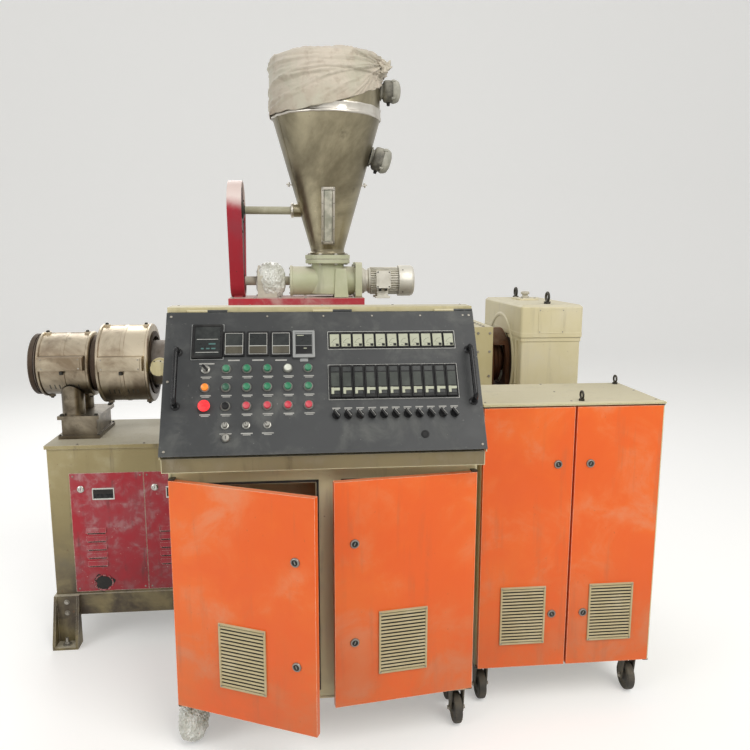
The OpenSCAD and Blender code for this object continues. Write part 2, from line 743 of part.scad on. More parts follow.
// The cloth tied over the hopper's mouth, as one cap with a slanting lower edge
module hopper_cloth() color("#c9c3b2") translate([feed_x, axis_y, 0]) difference() {
    r = mouth_cloth_r;
    rotate_extrude()
        polygon([[r, rim_z + 4], [r + cloth_t, rim_z + 4], [r + cloth_t, mouth_z + 6],
                 [r - 20, mouth_z + 26], [60, mouth_z + lid_rise + cloth_t + 2],
                 [0, mouth_z + lid_rise + cloth_t + 6], [0, mouth_z + lid_rise + 2],
                 [46, mouth_z + lid_rise + 2], [hopper_d / 2 - 6, mouth_z + 9], [r, mouth_z + 6]]);
    translate([0, 0, (cloth_low + cloth_high) / 2])
        rotate([0, -atan((cloth_high - cloth_low) / (2 * r)), 0])
        translate([-2 * r, -2 * r, -hopper_d]) cube([4 * r, 4 * r, hopper_d]);
}

// The sight window's strip of glass, which fills its slot in the cone
module sight_window() color("#7d8476") translate([feed_x, axis_y, 0]) intersection() {
    rotate_extrude()
        polygon([for (p = [[0, 0.5 - hopper_wall], [0, -0.5], [1, -0.5], [1, 0.5 - hopper_wall]])
            [(p[0] ? hopper_d : neck_d) / 2 + p[1], p[0] ? rim_z : cone_z]]);
    translate([-window_w / 2 + seat, -hopper_d, cone_z + window_rise + seat])
        cube([window_w - 2 * seat, hopper_d, window_h - 2 * seat]);
}

sensor_upper_l = 82;
sensor_upper_r = 43;
sensor_lower_l = 86;
sensor_lower_body_r = 47;
sensor_upper_z = mouth_z - 90;
sensor_lower_z = rim_z - 136;
sensor_lower_r = neck_d / 2 + (hopper_d - neck_d) / 2 * (sensor_lower_z - cone_z) / cone_height;

// A rotary level sensor: a round flange, a drum and a domed cap
module level_sensor(length, r) {
    cylinder(h = 8, r = r * 1.15);
    cylinder(h = length * 0.6, r = r);
    translate([0, 0, length * 0.6]) cylinder(h = length * 0.4, r = r * 0.8);
}

module level_sensors() color("#55534f") {
    along_x(feed_x + hopper_d / 2 + seat, axis_y, sensor_upper_z)
        level_sensor(sensor_upper_l, sensor_upper_r);
    translate([feed_x + sensor_lower_r + 2 * seat, axis_y, sensor_lower_z]) rotate([0, 90 + wall_slope, 0])
        level_sensor(sensor_lower_l, sensor_lower_body_r);
}

// Enclosures

module frame_plate(x0, x1, y, z0, z1, holes) difference() {
    span([x0, y, z0], [x1, y + frame_depth, z1]);
    for (h = holes) span([h[0], y - 1, h[1]], [h[2], y + frame_depth + 1, h[3]]);
}

opening_low = console_clearance + 40;
opening_high = console_height - 60;

module console_front_frame() color("#bdb38c") {
    frame_plate(console_left, console_right, 0, console_clearance, console_height,
        [[console_left + post_width, opening_low, split_x - centre_post_width / 2, opening_high],
         [split_x + centre_post_width / 2, opening_low, console_right - post_width, opening_high]]);
    span([hood_left + 4, -nose_reach + 13, console_height], [hood_right - 4, frame_depth, nose_z - 10]);
}

cabinet_opening_low = console_clearance + 40;
cabinet_opening_high = cabinet_height - 60;
cabinet_post = 30;
cabinet_split_x = cabinet_left + cabinet_edge + cabinet_left_door_w + cabinet_split / 2;

module cabinet_front_frame() color("#bdb38c") {
    low = cabinet_opening_low;
    high = cabinet_opening_high;
    frame_plate(cabinet_left, cabinet_right, cabinet_setback, console_clearance,
        cabinet_height - cabinet_top_t,
        [[cabinet_left + cabinet_post, low, cabinet_split_x - cabinet_post, high],
         [cabinet_split_x + cabinet_post, low, cabinet_right - cabinet_post, high]]);
}

module side_panels() color("#b8ae88") {
    for (x = [console_left, console_right - sheet])
        span([x, frame_depth, console_clearance], [x + sheet, console_depth - sheet, console_height]);
    for (x = [cabinet_left, cabinet_right - sheet])
        span([x, cabinet_setback + frame_depth, console_clearance],
             [x + sheet, cabinet_back - sheet, cabinet_height - cabinet_top_t]);
}

module back_panels() color("#b8ae88") {
    span([console_left, console_depth - sheet, console_clearance],
         [console_right, console_depth, console_height]);
    span([hood_left, console_depth - sheet, console_height], [hood_right, console_depth, lid_top_z]);
    span([cabinet_left, cabinet_back - sheet, console_clearance],
         [cabinet_right, cabinet_back, cabinet_height - cabinet_top_t]);
}

floor_t = 4;

module floor_plates() color("#9c9474") {
    span([console_left + sheet, frame_depth, console_clearance],
         [console_right - sheet, console_depth - sheet, console_clearance + floor_t]);
    span([cabinet_left + sheet, cabinet_setback + frame_depth, console_clearance],
         [cabinet_right - sheet, cabinet_back - sheet, console_clearance + floor_t]);
}

// Outline of the hood's side, Y across and Z up
module hood_outline() polygon([
    [frame_depth, console_height], [console_depth - sheet, console_height],
    [console_depth - sheet, lid_top_z], [hood_top_y, lid_top_z],
    [hood_slope_y(lid_top_z), lid_top_z], [hood_slope_y(nose_z - 10), nose_z - 10],
    [frame_depth, nose_z - 10]]);

// Y of the hood's sloped edge, which runs behind the closed lid, at a height z
function hood_slope_y(z) = -nose_reach + (z - nose_z) * tan(lid_tilt) + (lid_t + lid_gap) / cos(lid_tilt);

module hood_sides() color("#b8ae88") for (side = [0, 1])
    translate([side ? hood_right : hood_left, 0, 0]) mirror([side, 0, 0]) difference() {
        rotate([90, 0, 90]) linear_extrude(14) hood_outline();
        translate([sheet, 0, console_height + sheet]) translate([0, -nose_reach, 0])
            cube([14, console_depth + 2 * nose_reach, lid_l]);
    }

knuckle_l = 60;
lid_pin_r = 2.5;
knuckle_stations = [60, lid_w / 2 - knuckle_l / 2, lid_w - 60 - knuckle_l];

module hood_top() color("#c7bd97") {
    span([hood_left, hood_top_y, lid_top_z], [hood_right, console_depth, lid_top_z + hood_top_t]);
    for (x = knuckle_stations) {
        along_x(hood_left + x, lid_pivot_y, lid_pivot_z) cylinder(h = knuckle_l, r = knuckle_r);
        along_x(hood_left + x, lid_pivot_y, lid_pivot_z) cylinder(h = 2 * knuckle_l, r = lid_pin_r);
        span([hood_left + x, lid_pivot_y, lid_pivot_z - 2],
             [hood_left + x + knuckle_l, hood_top_y + 1, lid_pivot_z + 2]);
    }
}

button_first_x = 121.5;
button_row_top = 261;
display_box = [84, 299, 81, 100];
meter_boxes = [[173, 303, 59, 75], [243, 303, 60, 75], [312, 302, 58, 76], [378, 295, 62, 84]];
ammeter_x = 486;
ammeter_w = 31;
ammeter_h = 50;
ammeter_low = 325;
controller_x = 483;
controller_w = 33;
controller_h = 100;
controller_low = 165;
selector_x = 500;
selector_v = 112;
body_depth = 55;
key_lock = [185, 50];
hole_lock = [757, 49];
button_rows = [[0, 1, 2, 3, 4, 5], [0, 1, 2, 3, 4, 5], [0, 1, 2, 3, 4, 5], [1, 2, 3]];

function row_x(i) = i * row_pitch;
function button_at(row, column) =
    [button_first_x + column * button_pitch, button_row_top - row * button_row_pitch];

// A cut-out for an instrument's body, a little wider than the body
module cut_box(x, v, w, h) translate([x - seat, v - seat, -lid_t - 1])
    cube([w + 2 * seat, h + 2 * seat, lid_t + 2]);

// A round cut-out for a switch's or a lock's stem at p
module round_cut(p) translate([p[0], p[1], -lid_t - 1]) cylinder(h = lid_t + 2, r = stem_r + seat);

// An instrument: its body behind the lid and its bezel in front
module instrument(x, v, w, h, bezel, proud) {
    translate([x, v, -body_depth]) cube([w, h, body_depth]);
    translate([x - bezel, v - bezel, 0]) cube([w + 2 * bezel, h + 2 * bezel, proud]);
}

bezel_w = 1;
stem_r = 8;

module control_lid() color("#55565a") {
    on_lid() difference() {
        union() {
            translate([0, 0, -lid_t]) cube([lid_w, lid_l, lid_t]);
            translate([18, 12, -lid_fold]) difference() {
                cube([lid_w - 36, lid_l - 24, lid_fold - lid_t]);
                translate([3, 3, -1]) cube([lid_w - 42, lid_l - 30, lid_fold + 2]);
            }
        }
        cut_box(display_box[0], display_box[1], display_box[2], display_box[3]);
        for (m = meter_boxes) cut_box(m[0], m[1], m[2], m[3]);
        for (i = [0 : row_count - 1]) {
            cut_box(ammeter_x + row_x(i) + bezel_w, ammeter_low, ammeter_w - 2 * bezel_w, ammeter_h);
            cut_box(controller_x + row_x(i) + bezel_w, controller_low,
                    controller_w - 2 * bezel_w, controller_h);
            round_cut([selector_x + row_x(i), selector_v]);
        }
        for (row = [0 : 3]) for (c = button_rows[row]) round_cut(button_at(row, c));
        for (p = [key_lock, hole_lock]) round_cut(p);
    }
    for (x = knuckle_stations) difference() {
        union() {
            along_x(hood_left + x + knuckle_l + seat, lid_pivot_y, lid_pivot_z)
                cylinder(h = knuckle_l - 2 * seat, r = knuckle_r);
            on_lid() translate([x + knuckle_l + 2, lid_l - 8, -hinge_in - 1.5])
                cube([knuckle_l - 4, 8 + hinge_out, 3]);
        }
        along_x(hood_left + x, lid_pivot_y, lid_pivot_z)
            cylinder(h = 3 * knuckle_l, r = lid_pin_r + pin_play);
    }
}

handle_l = 168;
handle_reach = 38;
handle_rod_r = 6;
bend_r = 14;

// A bow handle: a rod with rounded shoulders on two feet
module bow_handle() {
    for (v = [0, handle_l]) translate([0, v, 0]) {
        cylinder(h = 4, r = 11);
        cylinder(h = handle_reach - bend_r, r = handle_rod_r);
        translate([0, v ? -bend_r : bend_r, handle_reach - bend_r]) rotate([90, 0, v ? 90 : -90])
            rotate_extrude(angle = 90) translate([bend_r, 0]) circle(r = handle_rod_r);
    }
    translate([0, bend_r, handle_reach]) rotate([-90, 0, 0])
        cylinder(h = handle_l - 2 * bend_r, r = handle_rod_r);
}

handle_left = 40;
handle_right = lid_w - 27;
handle_v = lid_l / 3 - 1;

module lid_handles() color("#26262a") on_lid()
    for (x = [handle_left, handle_right]) translate([x, handle_v, 0]) bow_handle();

module panel_meters() color("#1d1e20") on_lid() {
    instrument(display_box[0], display_box[1], display_box[2], display_box[3], 3, 9);
    for (m = meter_boxes) instrument(m[0], m[1], m[2], m[3], 2, 7);
}

module ammeters() color("#e4e2da") on_lid() for (i = [0 : row_count - 1])
    instrument(ammeter_x + row_x(i) + bezel_w, ammeter_low, ammeter_w - 2 * bezel_w, ammeter_h, bezel_w, 6);

module temperature_controllers() color("#2a2b2d") on_lid() for (i = [0 : row_count - 1])
    instrument(controller_x + row_x(i) + bezel_w, controller_low, controller_w - 2 * bezel_w, controller_h,
               bezel_w, 10);

module selector_knobs() color("#1f2022") on_lid() for (i = [0 : row_count - 1])
    translate([selector_x + row_x(i), selector_v, 0]) {
        translate([0, 0, -30]) cylinder(h = 31, r = stem_r);
        cylinder(h = 5, r = 12);
        translate([0, 0, 4]) cylinder(h = 14, r = 8.5);
        rotate([0, 0, 35]) translate([-3, -11, 3]) cube([6, 22, 17]);
    }

button_colours = [["#1f2022", "#2f8f5b", "#2f8f5b", "#2f8f5b", "#e8e6dc", "#2f8f5b"],
                  ["#e07a2a", "#235c3f", "#2f8f5b", "#2f8f5b", "#2f8f5b", "#2f8f5b"],
                  ["#c8262c", "#7a2026", "#c8262c", "#c8262c", "#c8262c", "#c8262c"],
                  ["", "#33343a", "#33343a", "#33343a", "", ""]];

module push_buttons() on_lid() {
    for (row = [0 : 3]) for (c = button_rows[row])
        translate(button_at(row, c)) color(button_colours[row][c]) {
        translate([0, 0, -45]) cylinder(h = 46, r = stem_r);
        cylinder(h = 4, r = button_r);
        cylinder(h = row == 3 ? 14 : 11, r = button_r - 4);
    }
    for (p = [key_lock, hole_lock]) translate(p) color("#b9b9b4") {
        translate([0, 0, -40]) cylinder(h = 41, r = stem_r);
        cylinder(h = 6, r = 11);
    }
}

// Doors

// A folded pan door with its outer face at Y = 0, the pins' holes at its hinge side, and the
// hole behind its grille; the hinge side is at X = 0
module pan_door(w, h, layout) difference() {
    cube([w, door_t, h]);
    translate([sheet, sheet, sheet]) cube([w - 2 * sheet, door_t, h - 2 * sheet]);
    translate([pin_inset, pin_depth, -1]) cylinder(h = h + 2, r = pin_r + pin_play);
    translate([layout[0] + 10, -1, layout[1] + 10])
        cube([grille_w - 20, door_t, grille_h - 20]);
    for (v = layout[3]) translate([w - layout[2], -1, v]) rotate([-90, 0, 0])
        cylinder(h = door_t, r = stem_r + seat);
}

grille_frame = 12;
grille_t = 5;
slat_pitch = (grille_h - 2 * grille_frame) / slat_count;

// A louvre grille on the door's outer face, with slanted slats in a plain frame
module louvre_grille() translate([0, -grille_t - 0.1, 0]) {
    difference() {
        cube([grille_w, grille_t, grille_h]);
        translate([grille_frame, -1, grille_frame])
            cube([grille_w - 2 * grille_frame, grille_t + 2, grille_h - 2 * grille_frame]);
    }
    for (i = [0 : slat_count - 1])
        translate([grille_frame - 1, 0.8, grille_frame + (i + 0.35) * slat_pitch]) rotate([-28, 0, 0])
            cube([grille_w - 2 * grille_frame + 2, 2, slat_pitch * 0.62]);
}

// A round door lock through the door's face
module door_lock() rotate([-90, 0, 0]) {
    translate([0, 0, -5]) cylinder(h = 5 - 0.1, r = 12);
    translate([0, 0, -2]) cylinder(h = door_t - 2, r = stem_r);
}

module door_fittings(w, layout) {
    translate([layout[0], 0, layout[1]]) louvre_grille();
    for (v = layout[3]) translate([w - layout[2], 0, v]) door_lock();
}

// Place of a door's grille, its locks' distance from the free edge and their heights on the door
console_layout = [152, 95, 60, [206, 518]];
cabinet_layout = [70, 84, 50, [186, 702]];
left_pin = [console_left + door_edge + pin_inset, door_front + pin_depth];
right_pin = [console_right - door_edge - pin_inset, door_front + pin_depth];
cabinet_left_pin = [cabinet_left + cabinet_edge + pin_inset, cabinet_door_front + pin_depth];
cabinet_right_pin = [cabinet_right - cabinet_edge - pin_inset, cabinet_door_front + pin_depth];

// Places a door drawn at the origin so that its pins' axis is at pin, turned open by angle;
// side is 1 for a door hung on its left edge and -1 for one hung on its right edge
module hang(pin, z, side, angle) translate([pin[0], pin[1], z]) rotate([0, 0, -side * angle])
    mirror([side < 0 ? 1 : 0, 0, 0]) translate([-pin_inset, -pin_depth, 0]) children();

orange = "#ee7434";
cream_plastic = "#b9b193";

module console_door(pin, side, angle) hang(pin, console_door_z, side, angle) children();
module cabinet_door(pin, side) hang(pin, cabinet_door_z, side, 0) children();

module console_door_left() color(orange) console_door(left_pin, 1, left_rest)
    pan_door(left_door_w, console_door_h, console_layout);
module console_door_left_fittings() color(cream_plastic) console_door(left_pin, 1, left_rest)
    door_fittings(left_door_w, console_layout);
module console_door_right() color(orange) console_door(right_pin, -1, right_rest)
    pan_door(right_door_w, console_door_h, console_layout);
module console_door_right_fittings() color(cream_plastic) console_door(right_pin, -1, right_rest)
    door_fittings(right_door_w, console_layout);
module cabinet_door_left() color(orange) cabinet_door(cabinet_left_pin, 1)
    pan_door(cabinet_left_door_w, cabinet_door_h, cabinet_layout);
module cabinet_door_left_fittings() color(cream_plastic) cabinet_door(cabinet_left_pin, 1)
    door_fittings(cabinet_left_door_w, cabinet_layout);
module cabinet_door_right() color(orange) cabinet_door(cabinet_right_pin, -1)
    pan_door(cabinet_right_door_w, cabinet_door_h, cabinet_layout);
module cabinet_door_right_fittings() color(cream_plastic) cabinet_door(cabinet_right_pin, -1)
    door_fittings(cabinet_right_door_w, cabinet_layout);

lug_t = 4;
lug_w = 18;
pin_reach = 12;

// The lugs above and below a door, with the pins that enter its folded edges
module hinge_pair(pin, frame_y, z, h) for (top = [0, 1])
    translate([pin[0], pin[1], top ? z + h + seat : z - seat]) mirror([0, 0, top ? 0 : 1]) {
        translate([-lug_w / 2, -7, 0]) cube([lug_w, frame_y - pin[1] + 7, lug_t]);
        translate([0, 0, -pin_reach]) cylinder(h = pin_reach + 1, r = pin_r);
    }

module hinge_brackets() color("#8a8474") {
    for (pin = [left_pin, right_pin]) hinge_pair(pin, 0, console_door_z, console_door_h);
    for (pin = [cabinet_left_pin, cabinet_right_pin])
        hinge_pair(pin, cabinet_setback, cabinet_door_z, cabinet_door_h);
}

module cabinet_top() color("#cfc8b4")
    span([cabinet_left, cabinet_door_front, cabinet_height - cabinet_top_t],
         [cabinet_right, cabinet_back, cabinet_height]);

// Wheels

caster_inset = 34;
caster_x = [console_left + caster_inset, console_right - caster_inset,
            cabinet_left + caster_inset, cabinet_right - caster_inset];
caster_y = [[60, console_depth - 60], [60, console_depth - 60],
            [cabinet_setback + 60, cabinet_back - 60], [cabinet_setback + 60, cabinet_back - 60]];
axle_r = 6;

// A caster's plate and fork, with the axle between its cheeks
module caster_fork() {
    plate_z = console_clearance - 6;
    translate([-wheel_w / 2 - 12, -38, plate_z]) cube([wheel_w + 24, 76, 6]);
    for (side = [-1, 1]) translate([side * (wheel_w / 2 + 5) - 2.5, 0, 0]) rotate([90, 0, 90])
        linear_extrude(5)
        polygon([[-30, plate_z + 1], [30, plate_z + 1], [12, wheel_r - 10], [-12, wheel_r - 10]]);
    along_x(-wheel_w / 2 - 9, 0, wheel_r) cylinder(h = wheel_w + 18, r = axle_r);
}

module caster_wheel() along_x(-wheel_w / 2, 0, wheel_r) difference() {
    union() {
        cylinder(h = wheel_w, r = wheel_r - 3);
        translate([0, 0, 3]) cylinder(h = wheel_w - 6, r = wheel_r);
    }
    translate([0, 0, -1]) cylinder(h = wheel_w + 2, r = axle_r + pin_play);
}

module casters() color("#4b4b48") for (i = [0 : 3]) for (y = caster_y[i])
    translate([caster_x[i], y, 0]) caster_fork();

module caster_wheels() color("#3a3936") for (i = [0 : 3]) for (y = caster_y[i])
    translate([caster_x[i], y, 0]) caster_wheel();

// Closed wiring ducts from the backs of the console and the cabinet to the base
module wiring_ducts() color("#a39b7c")
    for (p = [[(console_left + console_right) / 2, console_depth],
              [(cabinet_left + cabinet_right) / 2, cabinet_back]])
    span([p[0] - duct_size / 2, p[1], base_clearance + rail_height / 2],
         [p[0] + duct_size / 2, base_front, base_clearance + rail_height / 2 + 34]);

placed() base_body();
placed() base_feet();
placed() base_panels();
placed() barrel();
placed() heater_covers();
placed() barrel_support();
placed() vent_port();
placed() feed_throat();
placed() distribution_housing();
placed() coupling_bell();
placed() gearbox_lower();
placed() gearbox_cover();
placed() lifting_eyes();
placed() belt_guard();
placed() feeder_tray();
placed() feeder_housing();
placed() feeder_motor();
placed() chain_guard();
placed() shaft_bearing();
placed() agitator_shaft();
placed() hopper_body();
placed() hopper_ring();
placed() hopper_lid();
placed() hopper_cloth();
placed() sight_window();
placed() level_sensors();
placed() console_front_frame();
placed() side_panels();
placed() back_panels();
placed() floor_plates();
placed() hood_sides();
placed() hood_top();
placed() control_lid();
placed() lid_handles();
placed() panel_meters();
placed() ammeters();
placed() temperature_controllers();
placed() selector_knobs();
placed() push_buttons();
placed() console_door_left();
placed() console_door_left_fittings();
placed() console_door_right();
placed() console_door_right_fittings();
placed() cabinet_front_frame();
placed() cabinet_top();
placed() cabinet_door_left();
placed() cabinet_door_left_fittings();
placed() cabinet_door_right();
placed() cabinet_door_right_fittings();
placed() hinge_brackets();
placed() casters();
placed() caster_wheels();
placed() wiring_ducts();
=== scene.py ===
import math

import bmesh
import bpy
from mathutils import Matrix, Vector, noise


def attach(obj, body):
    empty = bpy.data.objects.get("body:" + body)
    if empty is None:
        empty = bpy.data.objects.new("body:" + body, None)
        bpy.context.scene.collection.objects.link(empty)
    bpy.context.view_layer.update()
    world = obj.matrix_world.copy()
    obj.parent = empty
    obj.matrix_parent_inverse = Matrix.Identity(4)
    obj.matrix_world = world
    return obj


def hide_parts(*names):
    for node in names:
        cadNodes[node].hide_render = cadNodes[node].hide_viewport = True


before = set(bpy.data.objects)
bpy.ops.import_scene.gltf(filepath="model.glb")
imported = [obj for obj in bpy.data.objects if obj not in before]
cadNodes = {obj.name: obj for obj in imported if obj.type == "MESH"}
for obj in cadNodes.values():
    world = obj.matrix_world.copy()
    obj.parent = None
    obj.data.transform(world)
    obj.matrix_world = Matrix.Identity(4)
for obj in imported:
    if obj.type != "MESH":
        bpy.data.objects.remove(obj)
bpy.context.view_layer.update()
print("frame loaded:", len(cadNodes), "nodes")

# Everything is drawn in the source's own millimetres and brought into the frame at the end
drawing = Matrix.Scale(0.001, 4) @ Matrix.Translation((-1045, -526.534, 0))


# ---- camera, lamps and stage

view = {"place": (-0.067, -2.5895, 1.521), "pitch": 9.428, "yaw": 5.948, "roll": 0.127, "focalPixels": 717.6,
        "picture": 750, "sensor": 36.0}


def placeCamera():
    data = bpy.data.cameras.new("photoCamera")
    data.sensor_width = view["sensor"]
    data.sensor_fit = "HORIZONTAL"
    data.lens = view["sensor"] * view["focalPixels"] / view["picture"]
    camera = bpy.data.objects.new("photoCamera", data)
    camera.matrix_world = (Matrix.Translation(view["place"])
                           @ Matrix.Rotation(math.radians(-view["yaw"]), 4, "Z")
                           @ Matrix.Rotation(math.radians(90 - view["pitch"]), 4, "X")
                           @ Matrix.Rotation(math.radians(view["roll"]), 4, "Z"))
    bpy.context.scene.collection.objects.link(camera)
    bpy.context.scene.camera = camera


lamps = [  # name, place, aimed at, side length, power, colour
    ("skylight", (2.2, -3.6, 4.6), (0, 0, 0.9), 3.2, 178, (1.0, 0.98, 0.95)),
    ("doorway", (-3.8, -2.6, 2.6), (-0.2, 0, 1.0), 2.4, 62, (0.97, 0.98, 1.0)),
    ("backFill", (-1.0, 4.0, 3.9), (0, 0.3, 1.0), 3.0, 90, (1.0, 1.0, 1.0)),
]


def lightUp():
    for name, place, target, size, power, colour in lamps:
        data = bpy.data.lights.new(name, "AREA")
        data.shape, data.size, data.energy, data.color = "SQUARE", size, power, colour
        lamp = bpy.data.objects.new(name, data)
        turn = (Vector(target) - Vector(place)).to_track_quat("-Z", "Y").to_matrix().to_4x4()
        lamp.matrix_world = Matrix.Translation(place) @ turn
        bpy.context.scene.collection.objects.link(lamp)
    bpy.context.scene.view_settings.view_transform = "Standard"
    world = bpy.data.worlds.new("paleRoom")
    bpy.context.scene.world = world
    world.use_nodes = True
    tree = world.node_tree
    tree.nodes.clear()
    seen = tree.nodes.new("ShaderNodeLightPath")
    either = tree.nodes.new("ShaderNodeMath")
    either.operation = "MAXIMUM"
    tree.links.new(seen.outputs["Is Camera Ray"], either.inputs[0])
    also = tree.nodes.new("ShaderNodeMath")
    also.operation = "MAXIMUM"
    tree.links.new(seen.outputs["Is Glossy Ray"], also.inputs[0])
    tree.links.new(seen.outputs["Is Transmission Ray"], also.inputs[1])
    tree.links.new(also.outputs[0], either.inputs[1])
    fill = tree.nodes.new("ShaderNodeBackground")
    fill.inputs["Color"].default_value = (1.0, 0.99, 0.96, 1)
    fill.inputs["Strength"].default_value = 0.45
    shown = tree.nodes.new("ShaderNodeBackground")
    shown.inputs["Color"].default_value = (0.92, 0.92, 0.915, 1)
    shown.inputs["Strength"].default_value = 1.0
    blend = tree.nodes.new("ShaderNodeMixShader")
    out = tree.nodes.new("ShaderNodeOutputWorld")
    tree.links.new(either.outputs[0], blend.inputs[0])
    tree.links.new(fill.outputs[0], blend.inputs[1])
    tree.links.new(shown.outputs[0], blend.inputs[2])
    tree.links.new(blend.outputs[0], out.inputs["Surface"])


# ---- finishes


def tint(code):  # a web colour as linear values
    parts = [int(code[i:i + 2], 16) / 255 for i in (1, 3, 5)]
    return tuple(p / 12.92 if p <= 0.04045 else ((p + 0.055) / 1.055) ** 2.4 for p in parts) + (1,)


class Wire:  # one output of a finish's nodes, so that masks are written as sums
    def __init__(self, finish, socket):
        self.finish, self.socket = finish, socket

    def maths(self, operation, *others):
        return self.finish.add("Math", {"operation": operation}, dict(enumerate((self,) + others)))

    def __add__(self, other):
        return self.maths("ADD", other)

    def __sub__(self, other):
        return self.maths("SUBTRACT", other)

    def __rsub__(self, other):
        return self.finish.add("Math", {"operation": "SUBTRACT"}, {0: other, 1: self})

    def __mul__(self, other):
        return self.maths("MULTIPLY", other)

    __radd__, __rmul__ = __add__, __mul__

    def between(self, low, high):  # 0 at low and 1 at high, smooth and clamped
        return self.finish.add("MapRange", {"interpolation_type": "SMOOTHSTEP"},
                               {0: self, 1: low, 2: high, 3: 0.0, 4: 1.0})


class Finish:
    def __init__(self, name, slot):
        self.material = bpy.data.materials.new(name)
        self.material.use_nodes = True
        tree = self.material.node_tree
        self.nodes, self.links, self.slot = tree.nodes, tree.links, slot
        self.shader = tree.nodes["Principled BSDF"]
        self.coords = self.add("TexCoord", {}, {}, "Object")

    def plug(self, socket, value):
        if isinstance(value, Wire):
            self.links.new(value.socket, socket)
        elif isinstance(value, str):
            socket.default_value = tint(value)
        else:
            socket.default_value = value

    def add(self, kind, settings, sockets, out=0):
        node = self.nodes.new("ShaderNode" + kind)
        for key, value in settings.items():
            if key == "stops":
                ramp = node.color_ramp
                while len(ramp.elements) < len(value):
                    ramp.elements.new(0.5)
                for element, (place, colour) in zip(ramp.elements, value):
                    element.position, element.color = place, tint(colour)
            else:
                setattr(node, key, value)
        for key, value in sockets.items():
            self.plug(node.inputs[key], value)
        return Wire(self, node.outputs[out])

    def noise(self, scale, detail=4.0, rough=0.55, stretch=(1, 1, 1), shift=0.0, distort=0.0):
        place = self.add("Mapping", {}, {"Vector": self.coords, "Location": (shift, shift * 1.7, shift * 0.6),
                                         "Scale": tuple(scale * s for s in stretch)})
        return self.add("TexNoise", {}, {"Vector": place, "Scale": 1.0, "Detail": detail, "Roughness": rough,
                                         "Distortion": distort})

    def mix(self, first, second, share):
        return self.add("Mix", {"data_type": "RGBA"}, {0: share, 6: first, 7: second}, 2)

    def facing(self, axis="Z"):  # how far a surface faces up, or another way
        normal = self.add("NewGeometry", {}, {}, "Normal")
        return self.add("SeparateXYZ", {}, {0: normal}, axis)

    def height(self, axis="Z"):
        return self.add("SeparateXYZ", {}, {0: self.coords}, axis)

    def edges(self, radius=0.003):  # 1 along sharp edges, for worn paint
        soft = self.add("Bevel", {"samples": 4}, {"Radius": radius})
        hard = self.add("NewGeometry", {}, {}, "Normal")
        same = self.add("VectorMath", {"operation": "DOT_PRODUCT"}, {0: soft, 1: hard}, "Value")
        return (1 - same).between(0.02, 0.25)

    def bump(self, heights, strength=0.3, distance=0.001):
        return self.add("Bump", {}, {"Height": heights, "Strength": strength, "Distance": distance})

    def wear(self, **sockets):  # sets the shader's sockets by their names without spaces
        for key, value in sockets.items():
            words = "".join(" " + c if c.isupper() else c for c in key).strip()
            self.plug(self.shader.inputs[words], value)
        return self


def enamel(name, slot, look):  # painted sheet and castings, with dust, grime, fading and chips
    f = Finish(name, slot)
    broad = f.noise(look.get("patch", 2.6), 3, 0.5, shift=look.get("shift", 0))
    cloud = f.noise(look.get("cloud", 9), 7, 0.62, shift=3.1, distort=0.4)
    fine = f.noise(70, 5, 0.7, shift=1.3)
    run = f.noise(1, 5, 0.6, stretch=look.get("run", (26, 26, 2.2)), shift=5.2)
    colour = f.mix(look["colour"], look["faded"],
                   (broad * 0.55 + cloud * 0.45).between(0.40, 0.63) * look["fade"])
    colour = f.mix(colour, look["dust"], cloud.between(0.46, 0.72) * broad.between(0.35, 0.6) * look["smear"])
    colour = f.mix(colour, look["dirt"], run.between(0.52, 0.74) * cloud.between(0.35, 0.6) * look["runs"])
    low = f.height().between(look["lowTop"], look["lowTop"] * 0.25) * (cloud.between(0.25, 0.65) * 0.7 + 0.3)
    colour = f.mix(colour, look["dirt"], low * look["low"])
    lying = f.facing().between(0.35, 0.9) * (fine.between(0.2, 0.6) * 0.35 + 0.65)
    colour = f.mix(colour, look["dust"], lying * look["lying"])
    spots = (f.noise(look.get("chipScale", 95), 3, 0.6, shift=8.8).between(0.69, 0.73)
             * cloud.between(0.38, 0.55))
    rim = f.edges(look.get("rim", 0.003)) * fine.between(0.28, 0.55)
    colour = f.mix(colour, look["bare"], spots * look["chips"])
    colour = f.mix(colour, look["rubbed"], rim * look["edge"])
    rough = cloud.between(0.3, 0.8) * 0.18 + look["rough"] + lying * 0.2
    coat = f.noise(420, 2, 0.5) * 0.5 + cloud * look.get("wavy", 0.6) - spots * 0.8
    return f.wear(BaseColor=colour, Roughness=rough, Normal=f.bump(coat, look.get("relief", 0.12), 0.0006))


